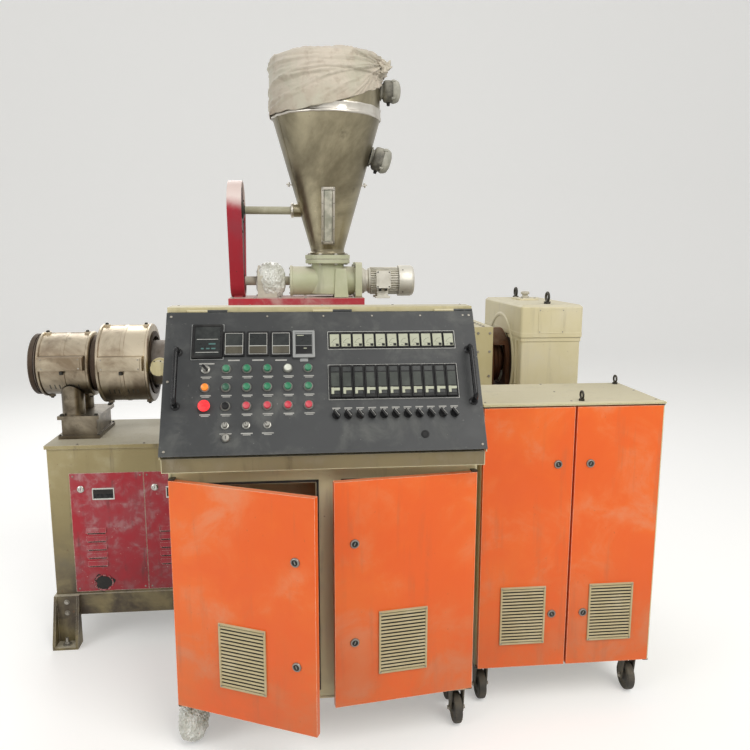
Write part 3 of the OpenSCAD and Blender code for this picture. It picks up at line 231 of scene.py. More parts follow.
def steel(name, slot, look):  # bare sheet or machined metal with stains and dust
    f = Finish(name, slot)
    grain = f.noise(1, 4, 0.6, stretch=look["grain"])
    stain = f.noise(look["stain"], 6, 0.6, shift=2.7, distort=0.5)
    fine = f.noise(60, 6, 0.7, shift=4.4)
    colour = f.mix(look["colour"], look["stained"], stain.between(0.40, 0.66) * look["stains"])
    colour = f.mix(colour, look["dark"],
                   f.noise(look["stain"] * 2.6, 6, 0.65, shift=7.1).between(0.55, 0.75) * look["darks"])
    if "darkBelow" in look:  # darker towards the underside
        belowShare = (f.height() + stain * 0.05).between(*look["darkBelow"]) * (stain.between(0.2, 0.6) * 0.5 + 0.5)
        colour = f.mix(colour, look["dark"], belowShare * 0.85)
    lying = ((f.facing().between(0.1, 0.85) * 0.8 + 0.2)
             * (stain.between(0.3, 0.6) * 0.5 + fine.between(0.3, 0.6) * 0.5))
    colour = f.mix(colour, look["dust"], lying * look["dusty"])
    rough = grain * 0.16 + look["rough"] + stain * 0.12 + lying * look["dusty"] * 0.4
    metal = 1 - lying * look["dusty"] * 0.85 - stain.between(0.45, 0.7) * look.get("dullness", 0.2)
    return f.wear(BaseColor=colour, Metallic=metal, Roughness=rough,
                  Normal=f.bump(grain * 0.6 + fine * 0.4, look["relief"], 0.0005))


def moulded(name, slot, colour, dust="#8f8d84", rough=0.38, dusty=0.35, metallic=0.0, fleck=140, glint=1.45):
    f = Finish(name, slot)
    f.shader.inputs["IOR"].default_value = glint
    cloud = f.noise(16, 6, 0.65, shift=1.9)
    fine = f.noise(fleck, 4, 0.6)
    lying = cloud.between(0.42, 0.72) * 0.6 + f.facing().between(0.2, 0.9) * 0.5
    shade = f.mix(colour, dust, lying * dusty)
    return f.wear(BaseColor=shade, Roughness=fine * 0.12 + rough + lying * dusty * 0.4, Metallic=metallic,
                  Normal=f.bump(fine, 0.10, 0.0003))


def makeFinishes():
    dusts = {"dust": "#cac4b0", "dirt": "#544a35", "bare": "#6a4a33", "rubbed": "#e6ddc6"}
    cream = dict(dusts, colour="#bdb287", faded="#cbc198", fade=0.8, smear=0.35, runs=0.35, low=0.75,
                 lowTop=0.34, lying=0.7, chips=0.5, edge=0.35, rough=0.42)
    made = {
        "cream": enamel("wornCreamEnamel", "machine_cream", cream),
        "baseCream": enamel("grimyBaseEnamel", "machine_cream",
                            dict(cream, colour="#988a60", faded="#a89b72", dust="#bdb6a2", dirt="#42372a",
                                 lying=0.95, fade=0.9, smear=0.4, runs=0.8, low=1.0, lowTop=0.62, chips=0.9,
                                 edge=0.6, patch=3.6, chipScale=60)),
        # a paler copy of the cream: painted light on the console's frame and the frames' lips, which sit in
        # the hood's shade
        "paintedLightFrameCream": enamel("paintedLightFrameEnamel", "machine_cream",
                             dict(cream, colour="#d3cba0", faded="#dbd3ad", fade=0.7, smear=0.3, runs=0.35,
                                  lying=0.4, chips=0.6, edge=0.8, low=0.4)),
        # a dark cream: painted shade for the rail under the console's panel
        "bandCream": enamel("shadeDarkBandEnamel", "machine_cream",
                            dict(cream, colour="#7c6f4e", faded="#6c5f43", dirt="#43381f", fade=1.0,
                                 smear=0.25, runs=0.8, lying=0.3, chips=0.7)),
        "casting": enamel("creamCastingEnamel", "machine_cream",
                          dict(cream, colour="#cfc59f", faded="#d8cfb0", wavy=1.6, relief=0.25, runs=0.25,
                               chips=0.3)),
        "greenCream": enamel("paleGreenCastingEnamel", "machine_cream",
                             dict(cream, colour="#b2b593", faded="#c4c6ab", wavy=1.6, relief=0.25,
                                  lying=0.85, lowTop=0.1)),
        "orange": enamel("fadedOrangePowderCoat", "door_orange",
                         dict(dusts, colour="#e85f12", faded="#ef7422", dust="#da9a76", dirt="#a4603f",
                              bare="#8b4a2a", rubbed="#f6dfc8", fade=0.6, smear=0.5, runs=0.3, low=0.42,
                              lowTop=0.62, lying=0.5, chips=0.3, edge=0.85, rough=0.34, patch=3.0,
                              cloud=6)),
        "panelRed": enamel("dustyRedEnamel", "panel_red",
                           dict(dusts, colour="#ab1a2a", faded="#a1444b", dust="#b5888a", dirt="#5e2a2c",
                                bare="#d8d0c4", rubbed="#e8dcd2", fade=0.9, smear=0.85, runs=0.85, low=0.45,
                                lowTop=0.5, lying=0.6, chips=0.5, edge=0.85, rough=0.45, patch=5.0,
                                cloud=22, run=(46, 46, 4))),
        "charcoal": enamel("charcoalPowderCoat", "lid_charcoal",
                           dict(dusts, colour="#212324", faded="#303233", dust="#73746f", dirt="#191a1b",
                                bare="#a9a8a2", rubbed="#8f908c", fade=0.8, smear=0.4, runs=0.4, low=0.0,
                                lowTop=0.1, lying=0.12, chips=0.35, edge=0.45, rough=0.46, patch=4.0,
                                cloud=10, relief=0.18, run=(17, 17, 4.5))),
        "coverSteel": steel("stainedStainlessSheet", "cover_stainless",
                            {"colour": "#c8bba3", "stained": "#75624b", "dark": "#2c2218",
                             "dust": "#c4bcae", "grain": (30, 240, 240), "stain": 4.6, "stains": 0.9,
                             "darks": 0.75, "dusty": 0.2, "rough": 0.17, "relief": 0.05,
                             "darkBelow": (1.16, 1.0)}),
        "hopperSteel": steel("dullStainlessCone", "hopper_stainless",
                             {"colour": "#a59c82", "stained": "#4f4733", "dark": "#2a2318",
                              "dust": "#b3a994", "grain": (110, 110, 36), "stain": 2.6, "stains": 0.8,
                              "darks": 0.7, "dusty": 0.3, "rough": 0.15, "relief": 0.12}),
        "brightSteel": steel("brightRimSteel", "hopper_stainless",
                             {"colour": "#cfcac0", "stained": "#9b9284", "dark": "#6b6254",
                              "dust": "#c9c2b3", "grain": (200, 200, 40), "stain": 9, "stains": 0.4,
                              "darks": 0.2, "dusty": 0.25, "rough": 0.2, "relief": 0.05}),
        # heat-darkened bands, and also the flat ring of painted shade round the coupling
        "darkBand": steel("heatDarkenedSteelAndRecessShade", "barrel_steel",
                          {"colour": "#4a3d33", "stained": "#33281f", "dark": "#1f1a16", "dust": "#8b8070",
                           "grain": (60, 200, 200), "stain": 8, "stains": 0.7, "darks": 0.5, "dusty": 0.25,
                           "rough": 0.42, "relief": 0.15}),
        "barrelSteel": steel("oiledBarrelSteel", "barrel_steel",
                             {"colour": "#77706a", "stained": "#4d4036", "dark": "#2a231d",
                              "dust": "#9c9282", "grain": (160, 40, 40), "stain": 7, "stains": 0.7,
                              "darks": 0.5, "dusty": 0.3, "rough": 0.38, "relief": 0.10}),
        "rust": steel("rustyCouplingIron", "dark_steel",
                      {"colour": "#6b4630", "stained": "#4a2f22", "dark": "#2a1c15", "dust": "#96836b",
                       "grain": (60, 60, 60), "stain": 14, "stains": 0.8, "darks": 0.5, "dusty": 0.3,
                       "rough": 0.62, "relief": 0.4, "dullness": 0.9}),
        "screwSteel": steel("zincScrewSteel", "dark_steel",
                            {"colour": "#a19d94", "stained": "#6f675b", "dark": "#3a332b",
                             "dust": "#a9a291", "grain": (80, 80, 80), "stain": 40, "stains": 0.6,
                             "darks": 0.4, "dusty": 0.35, "rough": 0.34, "relief": 0.08}),
        "darkSteel": moulded("oilyDarkSteelAndSlotShade", "dark_steel", "#34332f", "#8c8575", 0.42, 0.4, 0.55),
        "motorCast": steel("castMotorAluminium", "motor_grey",
                           {"colour": "#d3d0c6", "stained": "#aaa699", "dark": "#6b665a", "dust": "#dcd8cc",
                            "grain": (120, 120, 120), "stain": 10, "stains": 0.5, "darks": 0.3,
                            "dusty": 0.7, "rough": 0.42, "relief": 0.25, "dullness": 0.5}),
        "sensorCast": moulded("dustySensorCasting", "sensor_dark", "#5d5b53", "#b8b5a8", 0.6, 1.0, fleck=60),
        "sensorCap": moulded("dustySensorCap", "sensor_dark", "#98978c", "#cfccc0", 0.6, 1.0, fleck=60),
        "shaftPaint": moulded("dustyPaintedShaft", "bearing_pale", "#a4a087", "#cbc9b6", 0.5, 0.9),
        "paleBearing": moulded("dustyPaleIron", "bearing_pale", "#b7b2a2", "#d6d0c2", 0.55, 0.7),
        "trayRed": enamel("dustyTrayRed", "guard_red",
                          dict(dusts, colour="#b3202f", faded="#a8404a", dust="#cbb6ac", dirt="#5e2a2c",
                               bare="#d8d0c4", rubbed="#ddc6bd", fade=0.8, smear=0.6, runs=0.3, low=0.0,
                               lowTop=0.1, lying=0.9, chips=0.3, edge=0.5, rough=0.48)),
        "black": moulded("blackMouldedPlastic", "black_plastic", "#131315", "#6d6c68", 0.4, 0.22, glint=1.25),
        "gloss": moulded("glossBlackHandle", "black_plastic", "#0d0d0f", "#5c5b57", 0.2, 0.14, glint=1.35),
        "window": moulded("instrumentWindowAndPaintedShade", "black_plastic", "#1c1f20", "#6e716c", 0.2, 0.3, glint=1.3),
        "dimWindow": moulded("dustyGreyWindow", "black_plastic", "#2f332f", "#6c706a", 0.25, 0.5, glint=1.25),
        "brownWindow": moulded("brownMeterWindow", "black_plastic", "#3a3527", "#85806f", 0.2, 0.4),
        "teal": moulded("dimScreenLines", "black_plastic", "#3f6a66", "#8a938e", 0.3, 0.3),
        "grey": moulded("greyBezelPlastic", "white_plastic", "#8b8d8c", "#b3b2ab", 0.4, 0.35),
        "white": moulded("agedWhitePlastic", "white_plastic", "#b0b39d", "#96937e", 0.38, 0.4),
        "label": moulded("paleLabelStrip", "white_plastic", "#b4b3ad", "#7f7e79", 0.5, 0.7),
        "line": moulded("whiteFrameLine", "white_plastic", "#c9c9c3", "#8d8c87", 0.4, 0.4),
        "chrome": moulded("dustyChrome", "dark_steel", "#b9b8b2", "#a8a294", 0.16, 0.25, 0.95),
        "ringSteel": moulded("buttonRing", "dark_steel", "#8d8c86", "#9a978c", 0.28, 0.3, 0.8),
        "green": moulded("greenButtonCap", "button_plastic", "#17744e", "#8fa898", 0.3, 0.3),
        "deepGreen": moulded("deepGreenButtonCap", "button_plastic", "#134d36", "#7f9486", 0.3, 0.3),
        "red": moulded("redButtonCap", "button_plastic", "#c3203a", "#c9a09c", 0.3, 0.3),
        "capWhite": moulded("whiteButtonCap", "button_plastic", "#d3d5c8", "#b3b2a4", 0.3, 0.3),
        "grille": moulded("dustyGrillePlastic", "grille_cream", "#b5a77f", "#cfc5a8", 0.5, 0.6),
        "tyre": moulded("scuffedWheel", "wheel_dark", "#3a3833", "#8a8272", 0.6, 0.7),
        "fork": moulded("dustyForkSteel", "dark_steel", "#5b574d", "#8f8775", 0.5, 0.7, 0.4),
        # black rubber, and painted shade in the base's slots, pulls and torn hole and behind the door grilles
        "sealBlackAndShade": moulded("rubberSealAndPaintedShade", "black_plastic", "#1e1d1b", "#6a655a", 0.6, 0.4),
    }
    cloth = Finish("dustyCottonSheet", "cloth_pale")
    weave = (cloth.noise(1, 2, 0.5, stretch=(900, 900, 260)) * 0.5
             + cloth.noise(1, 2, 0.5, stretch=(260, 260, 900), shift=2) * 0.5)
    grime, soil = cloth.noise(7, 6, 0.62, distort=0.4), cloth.noise(26, 6, 0.65, shift=3.4)
    shade = cloth.mix("#c0bca9", "#d0c6b6", grime.between(0.35, 0.6))
    shade = cloth.mix(shade, "#a39380", soil.between(0.5, 0.72) * 0.55)
    shade = cloth.mix(shade, "#9c8c76", cloth.height().between(2.16, 2.08) * grime.between(0.35, 0.6) * 0.6)
    shade = cloth.mix(shade, "#aca193", weave.between(0.35, 0.6) * 0.25)
    made["cloth"] = cloth.wear(BaseColor=shade, Roughness=weave * 0.1 + 0.82, SheenWeight=0.25,
                               SheenRoughness=0.5, Normal=cloth.bump(weave * 0.4 + soil * 0.6, 0.35, 0.0009))
    film = Finish("clingingPlasticFilm", "cloth_pale")
    haze, grit = film.noise(30, 5, 0.6), film.noise(110, 4, 0.7, shift=2.2)
    shade = film.mix("#dedfd8", "#bdbdb2", haze.between(0.4, 0.65))
    shade = film.mix(shade, "#8f8a7c", grit.between(0.56, 0.74) * 0.5)
    made["film"] = film.wear(BaseColor=shade, Roughness=haze * 0.3 + 0.12,
                             CoatWeight=haze.between(0.3, 0.7) * 0.6,
                             Normal=film.bump(haze * 0.5 + grit * 0.5, 0.3, 0.001))
    # lit caps, the sight glass and the guard's bleached red have their own recipes
    lit = Finish("litOrangeCap", "button_plastic")
    glow = lit.noise(60, 3, 0.5)
    made["orangeCap"] = lit.wear(BaseColor=lit.mix("#e06a10", "#f39a3a", glow), Roughness=glow * 0.2 + 0.2,
                                 EmissionColor="#e8740f", EmissionStrength=0.25)
    lit = Finish("litRedCap", "button_plastic")
    glow = lit.noise(60, 3, 0.5)
    made["litRed"] = lit.wear(BaseColor=lit.mix("#e31222", "#ff4a4a", glow), Roughness=glow * 0.2 + 0.2,
                              EmissionColor="#ff1a22", EmissionStrength=0.55)
    glass = Finish("dustySightGlass", "window_glass")
    film = glass.noise(22, 6, 0.6).between(0.3, 0.75)
    made["sightGlass"] = glass.wear(BaseColor=glass.mix("#9a9b8c", "#d7d3c4", film),
                                    Roughness=film * 0.4 + 0.12, Normal=glass.bump(film, 0.05, 0.0004))
    guard = Finish("bleachedGuardRed", "guard_red")
    cloud, fine = guard.noise(10, 6, 0.6), guard.noise(60, 5, 0.6)
    top = (guard.height() + cloud * 0.05).between(1.715, 1.775)
    colour = guard.mix("#9d1427", "#8a2c38", cloud.between(0.4, 0.65) * 0.6)
    colour = guard.mix(colour, "#e9dcd6", top * 0.92)
    colour = guard.mix(colour, "#d3b9b1", guard.facing().between(0.2, 0.9) * 0.5)
    colour = guard.mix(colour, "#f0e6df", guard.edges(0.003) * fine.between(0.3, 0.55) * 0.6)
    made["guardRed"] = guard.wear(BaseColor=colour, Roughness=cloud * 0.2 + 0.35,
                                  Normal=guard.bump(fine, 0.1, 0.0005))
    side = Finish("greasyGuardSide", "guard_red")
    cloud, fine = side.noise(14, 7, 0.65, distort=0.5), side.noise(60, 5, 0.6)
    colour = side.mix("#5e1720", "#2f1815", cloud.between(0.35, 0.65))
    colour = side.mix(colour, "#a08d80", fine.between(0.45, 0.7) * cloud.between(0.4, 0.6) * 0.6)
    made["guardSide"] = side.wear(BaseColor=colour, Roughness=cloud * 0.3 + 0.4,
                                  Normal=side.bump(fine, 0.2, 0.0006))
    return made


# ---- small drawing tools, all in millimetres


def aim(point, direction):  # a place at point whose Z looks along direction
    return Matrix.Translation(point) @ Vector(direction).to_track_quat("Z", "Y").to_matrix().to_4x4()


def addBox(bm, low, high, place=Matrix()):
    low, high = Vector(low), Vector(high)
    size = Matrix.Diagonal((*(high - low), 1))
    return bmesh.ops.create_cube(bm, size=1,
                                 matrix=place @ Matrix.Translation((low + high) / 2) @ size)["verts"]


def addDrum(bm, place, radius, length, tip=None, segments=32):
    made = bmesh.ops.create_cone(bm, cap_ends=True, cap_tris=False, segments=segments, radius1=radius,
                                 radius2=radius if tip is None else tip, depth=length,
                                 matrix=place @ Matrix.Translation((0, 0, length / 2)))
    return made["verts"]


def addTurned(bm, place, profile, steps=48):  # a profile of (radius, height) spun about the place's Z
    start = len(bm.verts)
    points = [bm.verts.new(place @ Vector((r, 0, z))) for r, z in profile]
    lines = [bm.edges.new(pair) for pair in zip(points, points[1:])]
    bmesh.ops.spin(bm, geom=points + lines, cent=place.translation, axis=place.to_3x3() @ Vector((0, 0, 1)),
                   dvec=(0, 0, 0), angle=math.tau, steps=steps, use_merge=True, use_duplicate=False)
    bm.verts.ensure_lookup_table()
    bmesh.ops.remove_doubles(bm, verts=bm.verts[start:], dist=0.001)


def addBolt(bm, place, size, washer=True):  # a hexagon head on its washer
    if washer:
        addDrum(bm, place, size * 1.12, size * 0.22, segments=14)
    addDrum(bm, place @ Matrix.Translation((0, 0, size * 0.2)), size * 0.9, size * 0.62, size * 0.82,
            segments=6)


def addScrew(bm, place, size):  # a low domed head
    addDrum(bm, place, size, size * 0.35, size * 0.9, segments=12)
    addDrum(bm, place @ Matrix.Translation((0, 0, size * 0.34)), size * 0.9, size * 0.22, size * 0.45,
            segments=12)


# a flat plate with rounded corners on place's X and Y
def addPlate(bm, place, width, height, thick, corner=0.0, steps=4):
    made = addBox(bm, (-width / 2, -height / 2, 0), (width / 2, height / 2, thick), place)
    if corner:
        up = (place.to_3x3() @ Vector((0, 0, 1))).normalized()
        upright = {e for v in made for e in v.link_edges
                   if abs((e.verts[0].co - e.verts[1].co).normalized().dot(up)) > 0.99}
        bmesh.ops.bevel(bm, geom=list(upright), offset=corner, segments=steps, profile=0.5, affect="EDGES",
                        material=-1)
    return made


# a plate with a raised border round a sunk face
def addBezel(bm, place, width, height, thick, border, sunk, corner=0.0):
    made = addBox(bm, (-width / 2, -height / 2, 0), (width / 2, height / 2, thick), place)
    up = (place.to_3x3() @ Vector((0, 0, 1))).normalized()
    upright = [e for e in {e for v in made for e in v.link_edges}
               if abs((e.verts[0].co - e.verts[1].co).normalized().dot(up)) > 0.99]
    face = max({f for v in made for f in v.link_faces}, key=lambda f: f.calc_center_median().dot(up))
    bmesh.ops.inset_region(bm, faces=[face], thickness=border, use_even_offset=True)
    bmesh.ops.inset_region(bm, faces=[face], thickness=0.3, use_even_offset=True)
    bmesh.ops.translate(bm, verts=face.verts, vec=-up * sunk)
    if corner:
        bmesh.ops.bevel(bm, geom=upright, offset=min(corner, border * 0.7), segments=2, profile=0.5,
                        affect="EDGES", material=-1)


def addArc(bm, place, inner, outer, start, end, steps=12):  # a flat printed arc
    turn = place @ Matrix.Rotation(math.radians(start), 4, "Z")
    ends = [bm.verts.new(turn @ Vector((r, 0, 0.25))) for r in (inner, outer)]
    line = bm.edges.new(ends)
    bmesh.ops.spin(bm, geom=ends + [line], cent=place.translation, axis=place.to_3x3() @ Vector((0, 0, 1)),
                   dvec=(0, 0, 0), angle=math.radians(end - start), steps=steps, use_merge=False,
                   use_duplicate=False)


def frameLine(bm, place, width, height, line, thick):  # a thin rectangular outline
    for sign in (-1, 1):
        addBox(bm, (sign * width / 2 - line / 2, -height / 2, 0),
               (sign * width / 2 + line / 2, height / 2, thick), place)
        addBox(bm, (-width / 2, sign * height / 2 - line / 2, 0),
               (width / 2, sign * height / 2 + line / 2, thick), place)


finishes = {}


def addPiece(name, bm, finish, body="machine", bevel=0.0, sharp=35, replaces=(), segments=2):
    bmesh.ops.transform(bm, matrix=drawing, verts=bm.verts)
    bmesh.ops.recalc_face_normals(bm, faces=bm.faces)
    mesh = bpy.data.meshes.new(name)
    bm.to_mesh(mesh)
    bm.free()
    for face in mesh.polygons:
        face.use_smooth = True
    mesh.set_sharp_from_angle(angle=math.radians(sharp))
    piece = bpy.data.objects.new(name, mesh)
    bpy.context.scene.collection.objects.link(piece)
    if bevel:
        rounding = piece.modifiers.new("softEdges", "BEVEL")
        rounding.width, rounding.segments, rounding.limit_method = bevel / 1000, segments, "ANGLE"
        rounding.angle_limit = math.radians(40)
        rounding.harden_normals = False
    mesh.materials.append(finishes[finish].material)
    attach(piece, body)
    for node in replaces:
        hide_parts(node)
    return piece


def onLid(u, v, w=0.0):  # a place on the control lid: across, up the slope and outwards
    return (Matrix.Translation((578, -79, 967)) @ Matrix.Rotation(math.radians(59.1), 4, "X")
            @ Matrix.Translation((u, v, w)))


def onDoor(pin, low, side, angle):  # a door's own place: X from its hinge side, Y inwards, Z up
    flip = Matrix.Diagonal((side, 1, 1, 1))
    return (Matrix.Translation((pin[0], pin[1], low))
            @ Matrix.Rotation(math.radians(-side * angle), 4, "Z") @ flip @ Matrix.Translation((-6, -10, 0)))


# ---- the carried-over solids


nodeFinishes = {
    "baseCream": ["base_body", "base_feet"],
    "cream": ["distribution_housing", "belt_guard", "vent_port",
              "side_panels", "back_panels", "floor_plates", "hood_sides", "hood_top",
              "cabinet_front_frame", "cabinet_top",
              "wiring_ducts"],
    "paintedLightFrameCream": ["console_front_frame"],
    "casting": ["gearbox_lower", "gearbox_cover"],
    "greenCream": ["feeder_housing"],
    "panelRed": ["base_panels"],
    "trayRed": ["feeder_tray"],
    "guardRed": ["chain_guard"],
    "orange": ["console_door_left", "console_door_right", "cabinet_door_left", "cabinet_door_right"],
    "charcoal": ["control_lid"],
    "coverSteel": ["heater_covers", "barrel_support"],
    "barrelSteel": ["barrel", "feed_throat"],
    "hopperSteel": ["hopper_body", "hopper_ring", "hopper_lid"],
    "shaftPaint": ["agitator_shaft"],
    "rust": ["coupling_bell"],
    "darkSteel": ["lifting_eyes", "hinge_brackets"],
    "motorCast": ["feeder_motor"],
    "paleBearing": ["shaft_bearing"],
    "sensorCast": ["level_sensors"],
    "gloss": ["lid_handles"],
    "black": ["panel_meters", "temperature_controllers", "selector_knobs"],
    "white": ["ammeters"],
    "cloth": ["hopper_cloth"],
    "green": ["push_buttons"],
    "grille": ["console_door_left_fittings", "console_door_right_fittings", "cabinet_door_left_fittings",
               "cabinet_door_right_fittings"],
    "fork": ["casters"],
    "tyre": ["caster_wheels"],
    "sightGlass": ["sight_window"],
}


def dressNodes():
    for finish, names in nodeFinishes.items():
        for name in names:
            mesh = cadNodes[name].data
            mesh.materials.clear()
            mesh.materials.append(finishes[finish].material)
    print("solids dressed:", sum(len(names) for names in nodeFinishes.values()))


# ---- hopper


axisY = 915  # the barrel, the feeder and the hopper stand on one line
barrelZ = 1090

hopper = {"x": 1092, "y": axisY, "coneZ": 1544, "rimZ": 2050, "neckR": 67,
          "topR": 212, "windowLow": 1574, "windowTall": 200, "windowWide": 44, "hubX": 950.3, "shaftZ": 1700}


def coneRadius(z):
    share = (z - hopper["coneZ"]) / (hopper["rimZ"] - hopper["coneZ"])
    return hopper["neckR"] + (hopper["topR"] - hopper["neckR"]) * share


def dressHopper():
    upright = Matrix.Translation((hopper["x"], hopper["y"], 0))
    r = hopper["topR"]
    bm = bmesh.new()  # the bright rolled band where the cone meets the cylinder
    addTurned(bm, upright,
              [(r + 0.2, 2046), (r + 3.4, 2048), (r + 4.6, 2052), (r + 3.4, 2056), (r + 1.6, 2058),
               (r + 1.6, 2078), (r + 2.6, 2080), (r + 3, 2083), (r + 2.4, 2086), (r + 0.2, 2087)], 96)
    for v in bm.verts:
        bend = (noise.noise(Vector((v.co.x * 0.03, v.co.y * 0.03, v.co.z * 0.02)))
                + 0.5 * noise.noise(v.co * 0.09))
        v.co += (Vector((v.co.x - hopper["x"], v.co.y - hopper["y"], 0)).normalized()
                 * max(bend * 2.2, -0.9) + Vector((0, 0, bend * 1.4)))
    addPiece("hopperRimBand", bm, "brightSteel")
    bm = bmesh.new()  # the welded lap that runs up the cone's left side, and the collar on the neck
    slope = math.atan((hopper["topR"] - hopper["neckR"]) / (hopper["rimZ"] - hopper["coneZ"]))
    for turn, low, high in ((205, 1560, 2046), (20, 1560, 2046)):
        spin = upright @ Matrix.Rotation(math.radians(turn), 4, "Z")
        seam = spin @ Matrix.Translation((coneRadius(low), 0, low)) @ Matrix.Rotation(slope, 4, "Y")
        addBox(bm, (-0.6, -5, 0), (1.4, 5, (high - low) / math.cos(slope)), seam)
    addTurned(bm, upright, [(67.2, 1526), (72, 1527), (73, 1530), (72, 1534), (67.6, 1537), (68.3, 1546)], 64)
    addPiece("hopperSeams", bm, "hopperSteel", bevel=0.6)
    bm = bmesh.new()  # paint and dust on the neck's flange
    addTurned(bm, upright,
              [(68, 1524), (90.8, 1524), (90.8, 1508.6), (89.6, 1508.6), (89.6, 1523.2), (68, 1523.2),
               (68, 1524)], 64)
    for v in bm.verts:
        v.co.z += 0.5 if v.co.z > 1520 else 0
    addPiece("neckFlangePaint", bm, "greenCream", bevel=0.4)
    bm = bmesh.new()  # flange bolts and their nuts
    for i in range(8):
        angle = math.radians(22.5 + 45 * i)
        spot = Vector((hopper["x"] + 80 * math.cos(angle), hopper["y"] + 80 * math.sin(angle), 0))
        addBolt(bm, aim(spot + Vector((0, 0, 1524)), (0, 0, 1)), 8)
        addBolt(bm, aim(spot + Vector((0, 0, 1492)), (0, 0, -1)), 8)
    addPiece("hopperFlangeBolts", bm, "screwSteel", bevel=0.4)
    # the sight window's frame, which stands on the cone's front
    bm = bmesh.new()
    low, tall, wide = hopper["windowLow"], hopper["windowTall"], hopper["windowWide"]
    lean = (Matrix.Translation((hopper["x"], hopper["y"] - coneRadius(low) - 1.5, low))
            @ Matrix.Rotation(slope, 4, "X"))
    length = tall / math.cos(slope)
    for u in (-wide / 2 - 4, wide / 2 - 4):
        addBox(bm, (u, -3, -8), (u + 8, 4, length + 8), lean)
    for w in (-8, length - 2):
        addBox(bm, (-wide / 2 - 4, -3, w), (wide / 2 + 4, 4, w + 10), lean)
    addPiece("windowFrame", bm, "brightSteel", bevel=1.2)
    bm = bmesh.new()
    for u in (-wide / 2, wide / 2):
        for k in range(5):
            addScrew(bm, lean @ Matrix.Translation((u, -3, length * (0.02 + 0.24 * k)))
                     @ Matrix.Rotation(math.pi / 2, 4, "X"), 3)
    addPiece("windowScrews", bm, "screwSteel")
    bm = bmesh.new()  # the dusty strip of glass in its bead, proud of the cone
    addBox(bm, (-wide / 2 + 8, -1.6, 4), (wide / 2 - 8, 0.4, length - 6), lean)
    addPiece("windowBead", bm, "sightGlass", bevel=0.8)
    bm = bmesh.new()  # hanging lugs with their pins on both sides of the cone
    for side in (-1, 1):
        z = 1800
        spot = aim((hopper["x"] + side * (coneRadius(z) - 2), hopper["y"], z), (side, 0, 0.1))
        addBox(bm, (-9, -2.5, 0), (9, 2.5, 24), spot)
        addDrum(bm, spot @ Matrix.Translation((0, 0, 14)) @ Matrix.Rotation(math.pi / 2, 4, "X")
                @ Matrix.Translation((0, 0, -9)), 4, 18)
    addPiece("hopperLugs", bm, "brightSteel", bevel=0.8)
    bm = bmesh.new()  # the hub's seal ring round the agitator shaft
    hub = aim((hopper["hubX"] - 4, hopper["y"], hopper["shaftZ"]), (1, 0, 0))
    addTurned(bm, hub, [(17, 0), (27, 0), (30, 2), (30, 9), (27, 11), (26.5, 12)], 40)
    for i in range(4):
        a = math.radians(45 + 90 * i)
        addBolt(bm, hub @ Matrix.Translation((23 * math.cos(a), 23 * math.sin(a), 0.2))
                @ Matrix.Rotation(math.pi, 4, "X"), 3, False)
    addPiece("hubSeal", bm, "brightSteel", bevel=0.5)
    print("hopper dressed")


cover = {"radius": 222, "sag": 5.0, "edge": (2072, 57, 41), "clear": 2213, "crown": 2307, "shoulder": 2262,
         "knot": (hopper["x"] + 196, axisY - 112, 2236), "folds": ((6, 13), (13, 10.5), (29, 4.8))}


def hemHeight(turn):  # the lower edge: low at the left, higher at the right, lifted clear of the sensor
    lean = math.cos(turn)
    edge = cover["edge"]
    low = (edge[0] + edge[1] * lean + edge[2] * lean * lean
           + 6 * noise.noise(Vector((5 * lean, 5 * math.sin(turn), 3))))
    slack = 0.2 if math.sin(turn) < 0 else 1.0
    beside = min(1.0, max(0.0, (abs(math.atan2(math.sin(turn), lean)) - 0.27) / slack))
    beside = beside * beside * (3 - 2 * beside)
    return cover["clear"] + (low - cover["clear"]) * beside


def addKnot(knot):  # the sheet's corners, tied in a lump with short tails
    bm = bmesh.new()
    lump = bmesh.ops.create_icosphere(bm, subdivisions=5, radius=1)["verts"]
    for v in lump:
        d = v.co.normalized()
        turn = math.atan2(d.y, d.z)
        swell = (1 + 0.16 * math.sin(5 * turn + 6 * d.x) + 0.22 * noise.noise(d * 2.4)
                 + 0.08 * noise.noise(d * 7))
        v.co = knot + Vector((8, -8, 2)) + Vector((d.x * 19, d.y * 19, d.z * 17)) * swell
    for lean, long, twist in ((6, 30, 0.4), (52, 34, 1.7), (86, 38, 2.6)):
        tail = bmesh.new()
        addTurned(tail, Matrix.Identity(4), [(0, 0)] + [(1, k / 14) for k in range(15)] + [(0, 1)], 24)
        for v in tail.verts:
            share, turn, wide = v.co.z, math.atan2(v.co.y, v.co.x), math.hypot(v.co.x, v.co.y)
            flare = wide * (5 + 11 * share ** 0.7) * (0.55 + 0.45 * abs(math.cos(1.5 * turn + twist)))
            flare *= 1 + 0.2 * noise.noise(v.co * 4 + Vector((twist, 0, 0)))
            v.co = Vector((math.cos(turn) * flare + 5 * math.sin(3 * share + twist),
                           math.sin(turn) * flare * (1 - 0.55 * share), share * long))
        place = (Matrix.Translation(knot + Vector((14, -12, 2)))
                 @ Matrix.Rotation(math.radians(90 + lean), 4, "Y")
                 @ Matrix.Rotation(math.radians(20), 4, "X"))
        tail.transform(place)
        cloth = bpy.data.meshes.new("tail")
        tail.to_mesh(cloth)
        tail.free()
        bm.from_mesh(cloth)
        bpy.data.meshes.remove(cloth)
    addPiece("coverKnot", bm, "cloth", sharp=180)


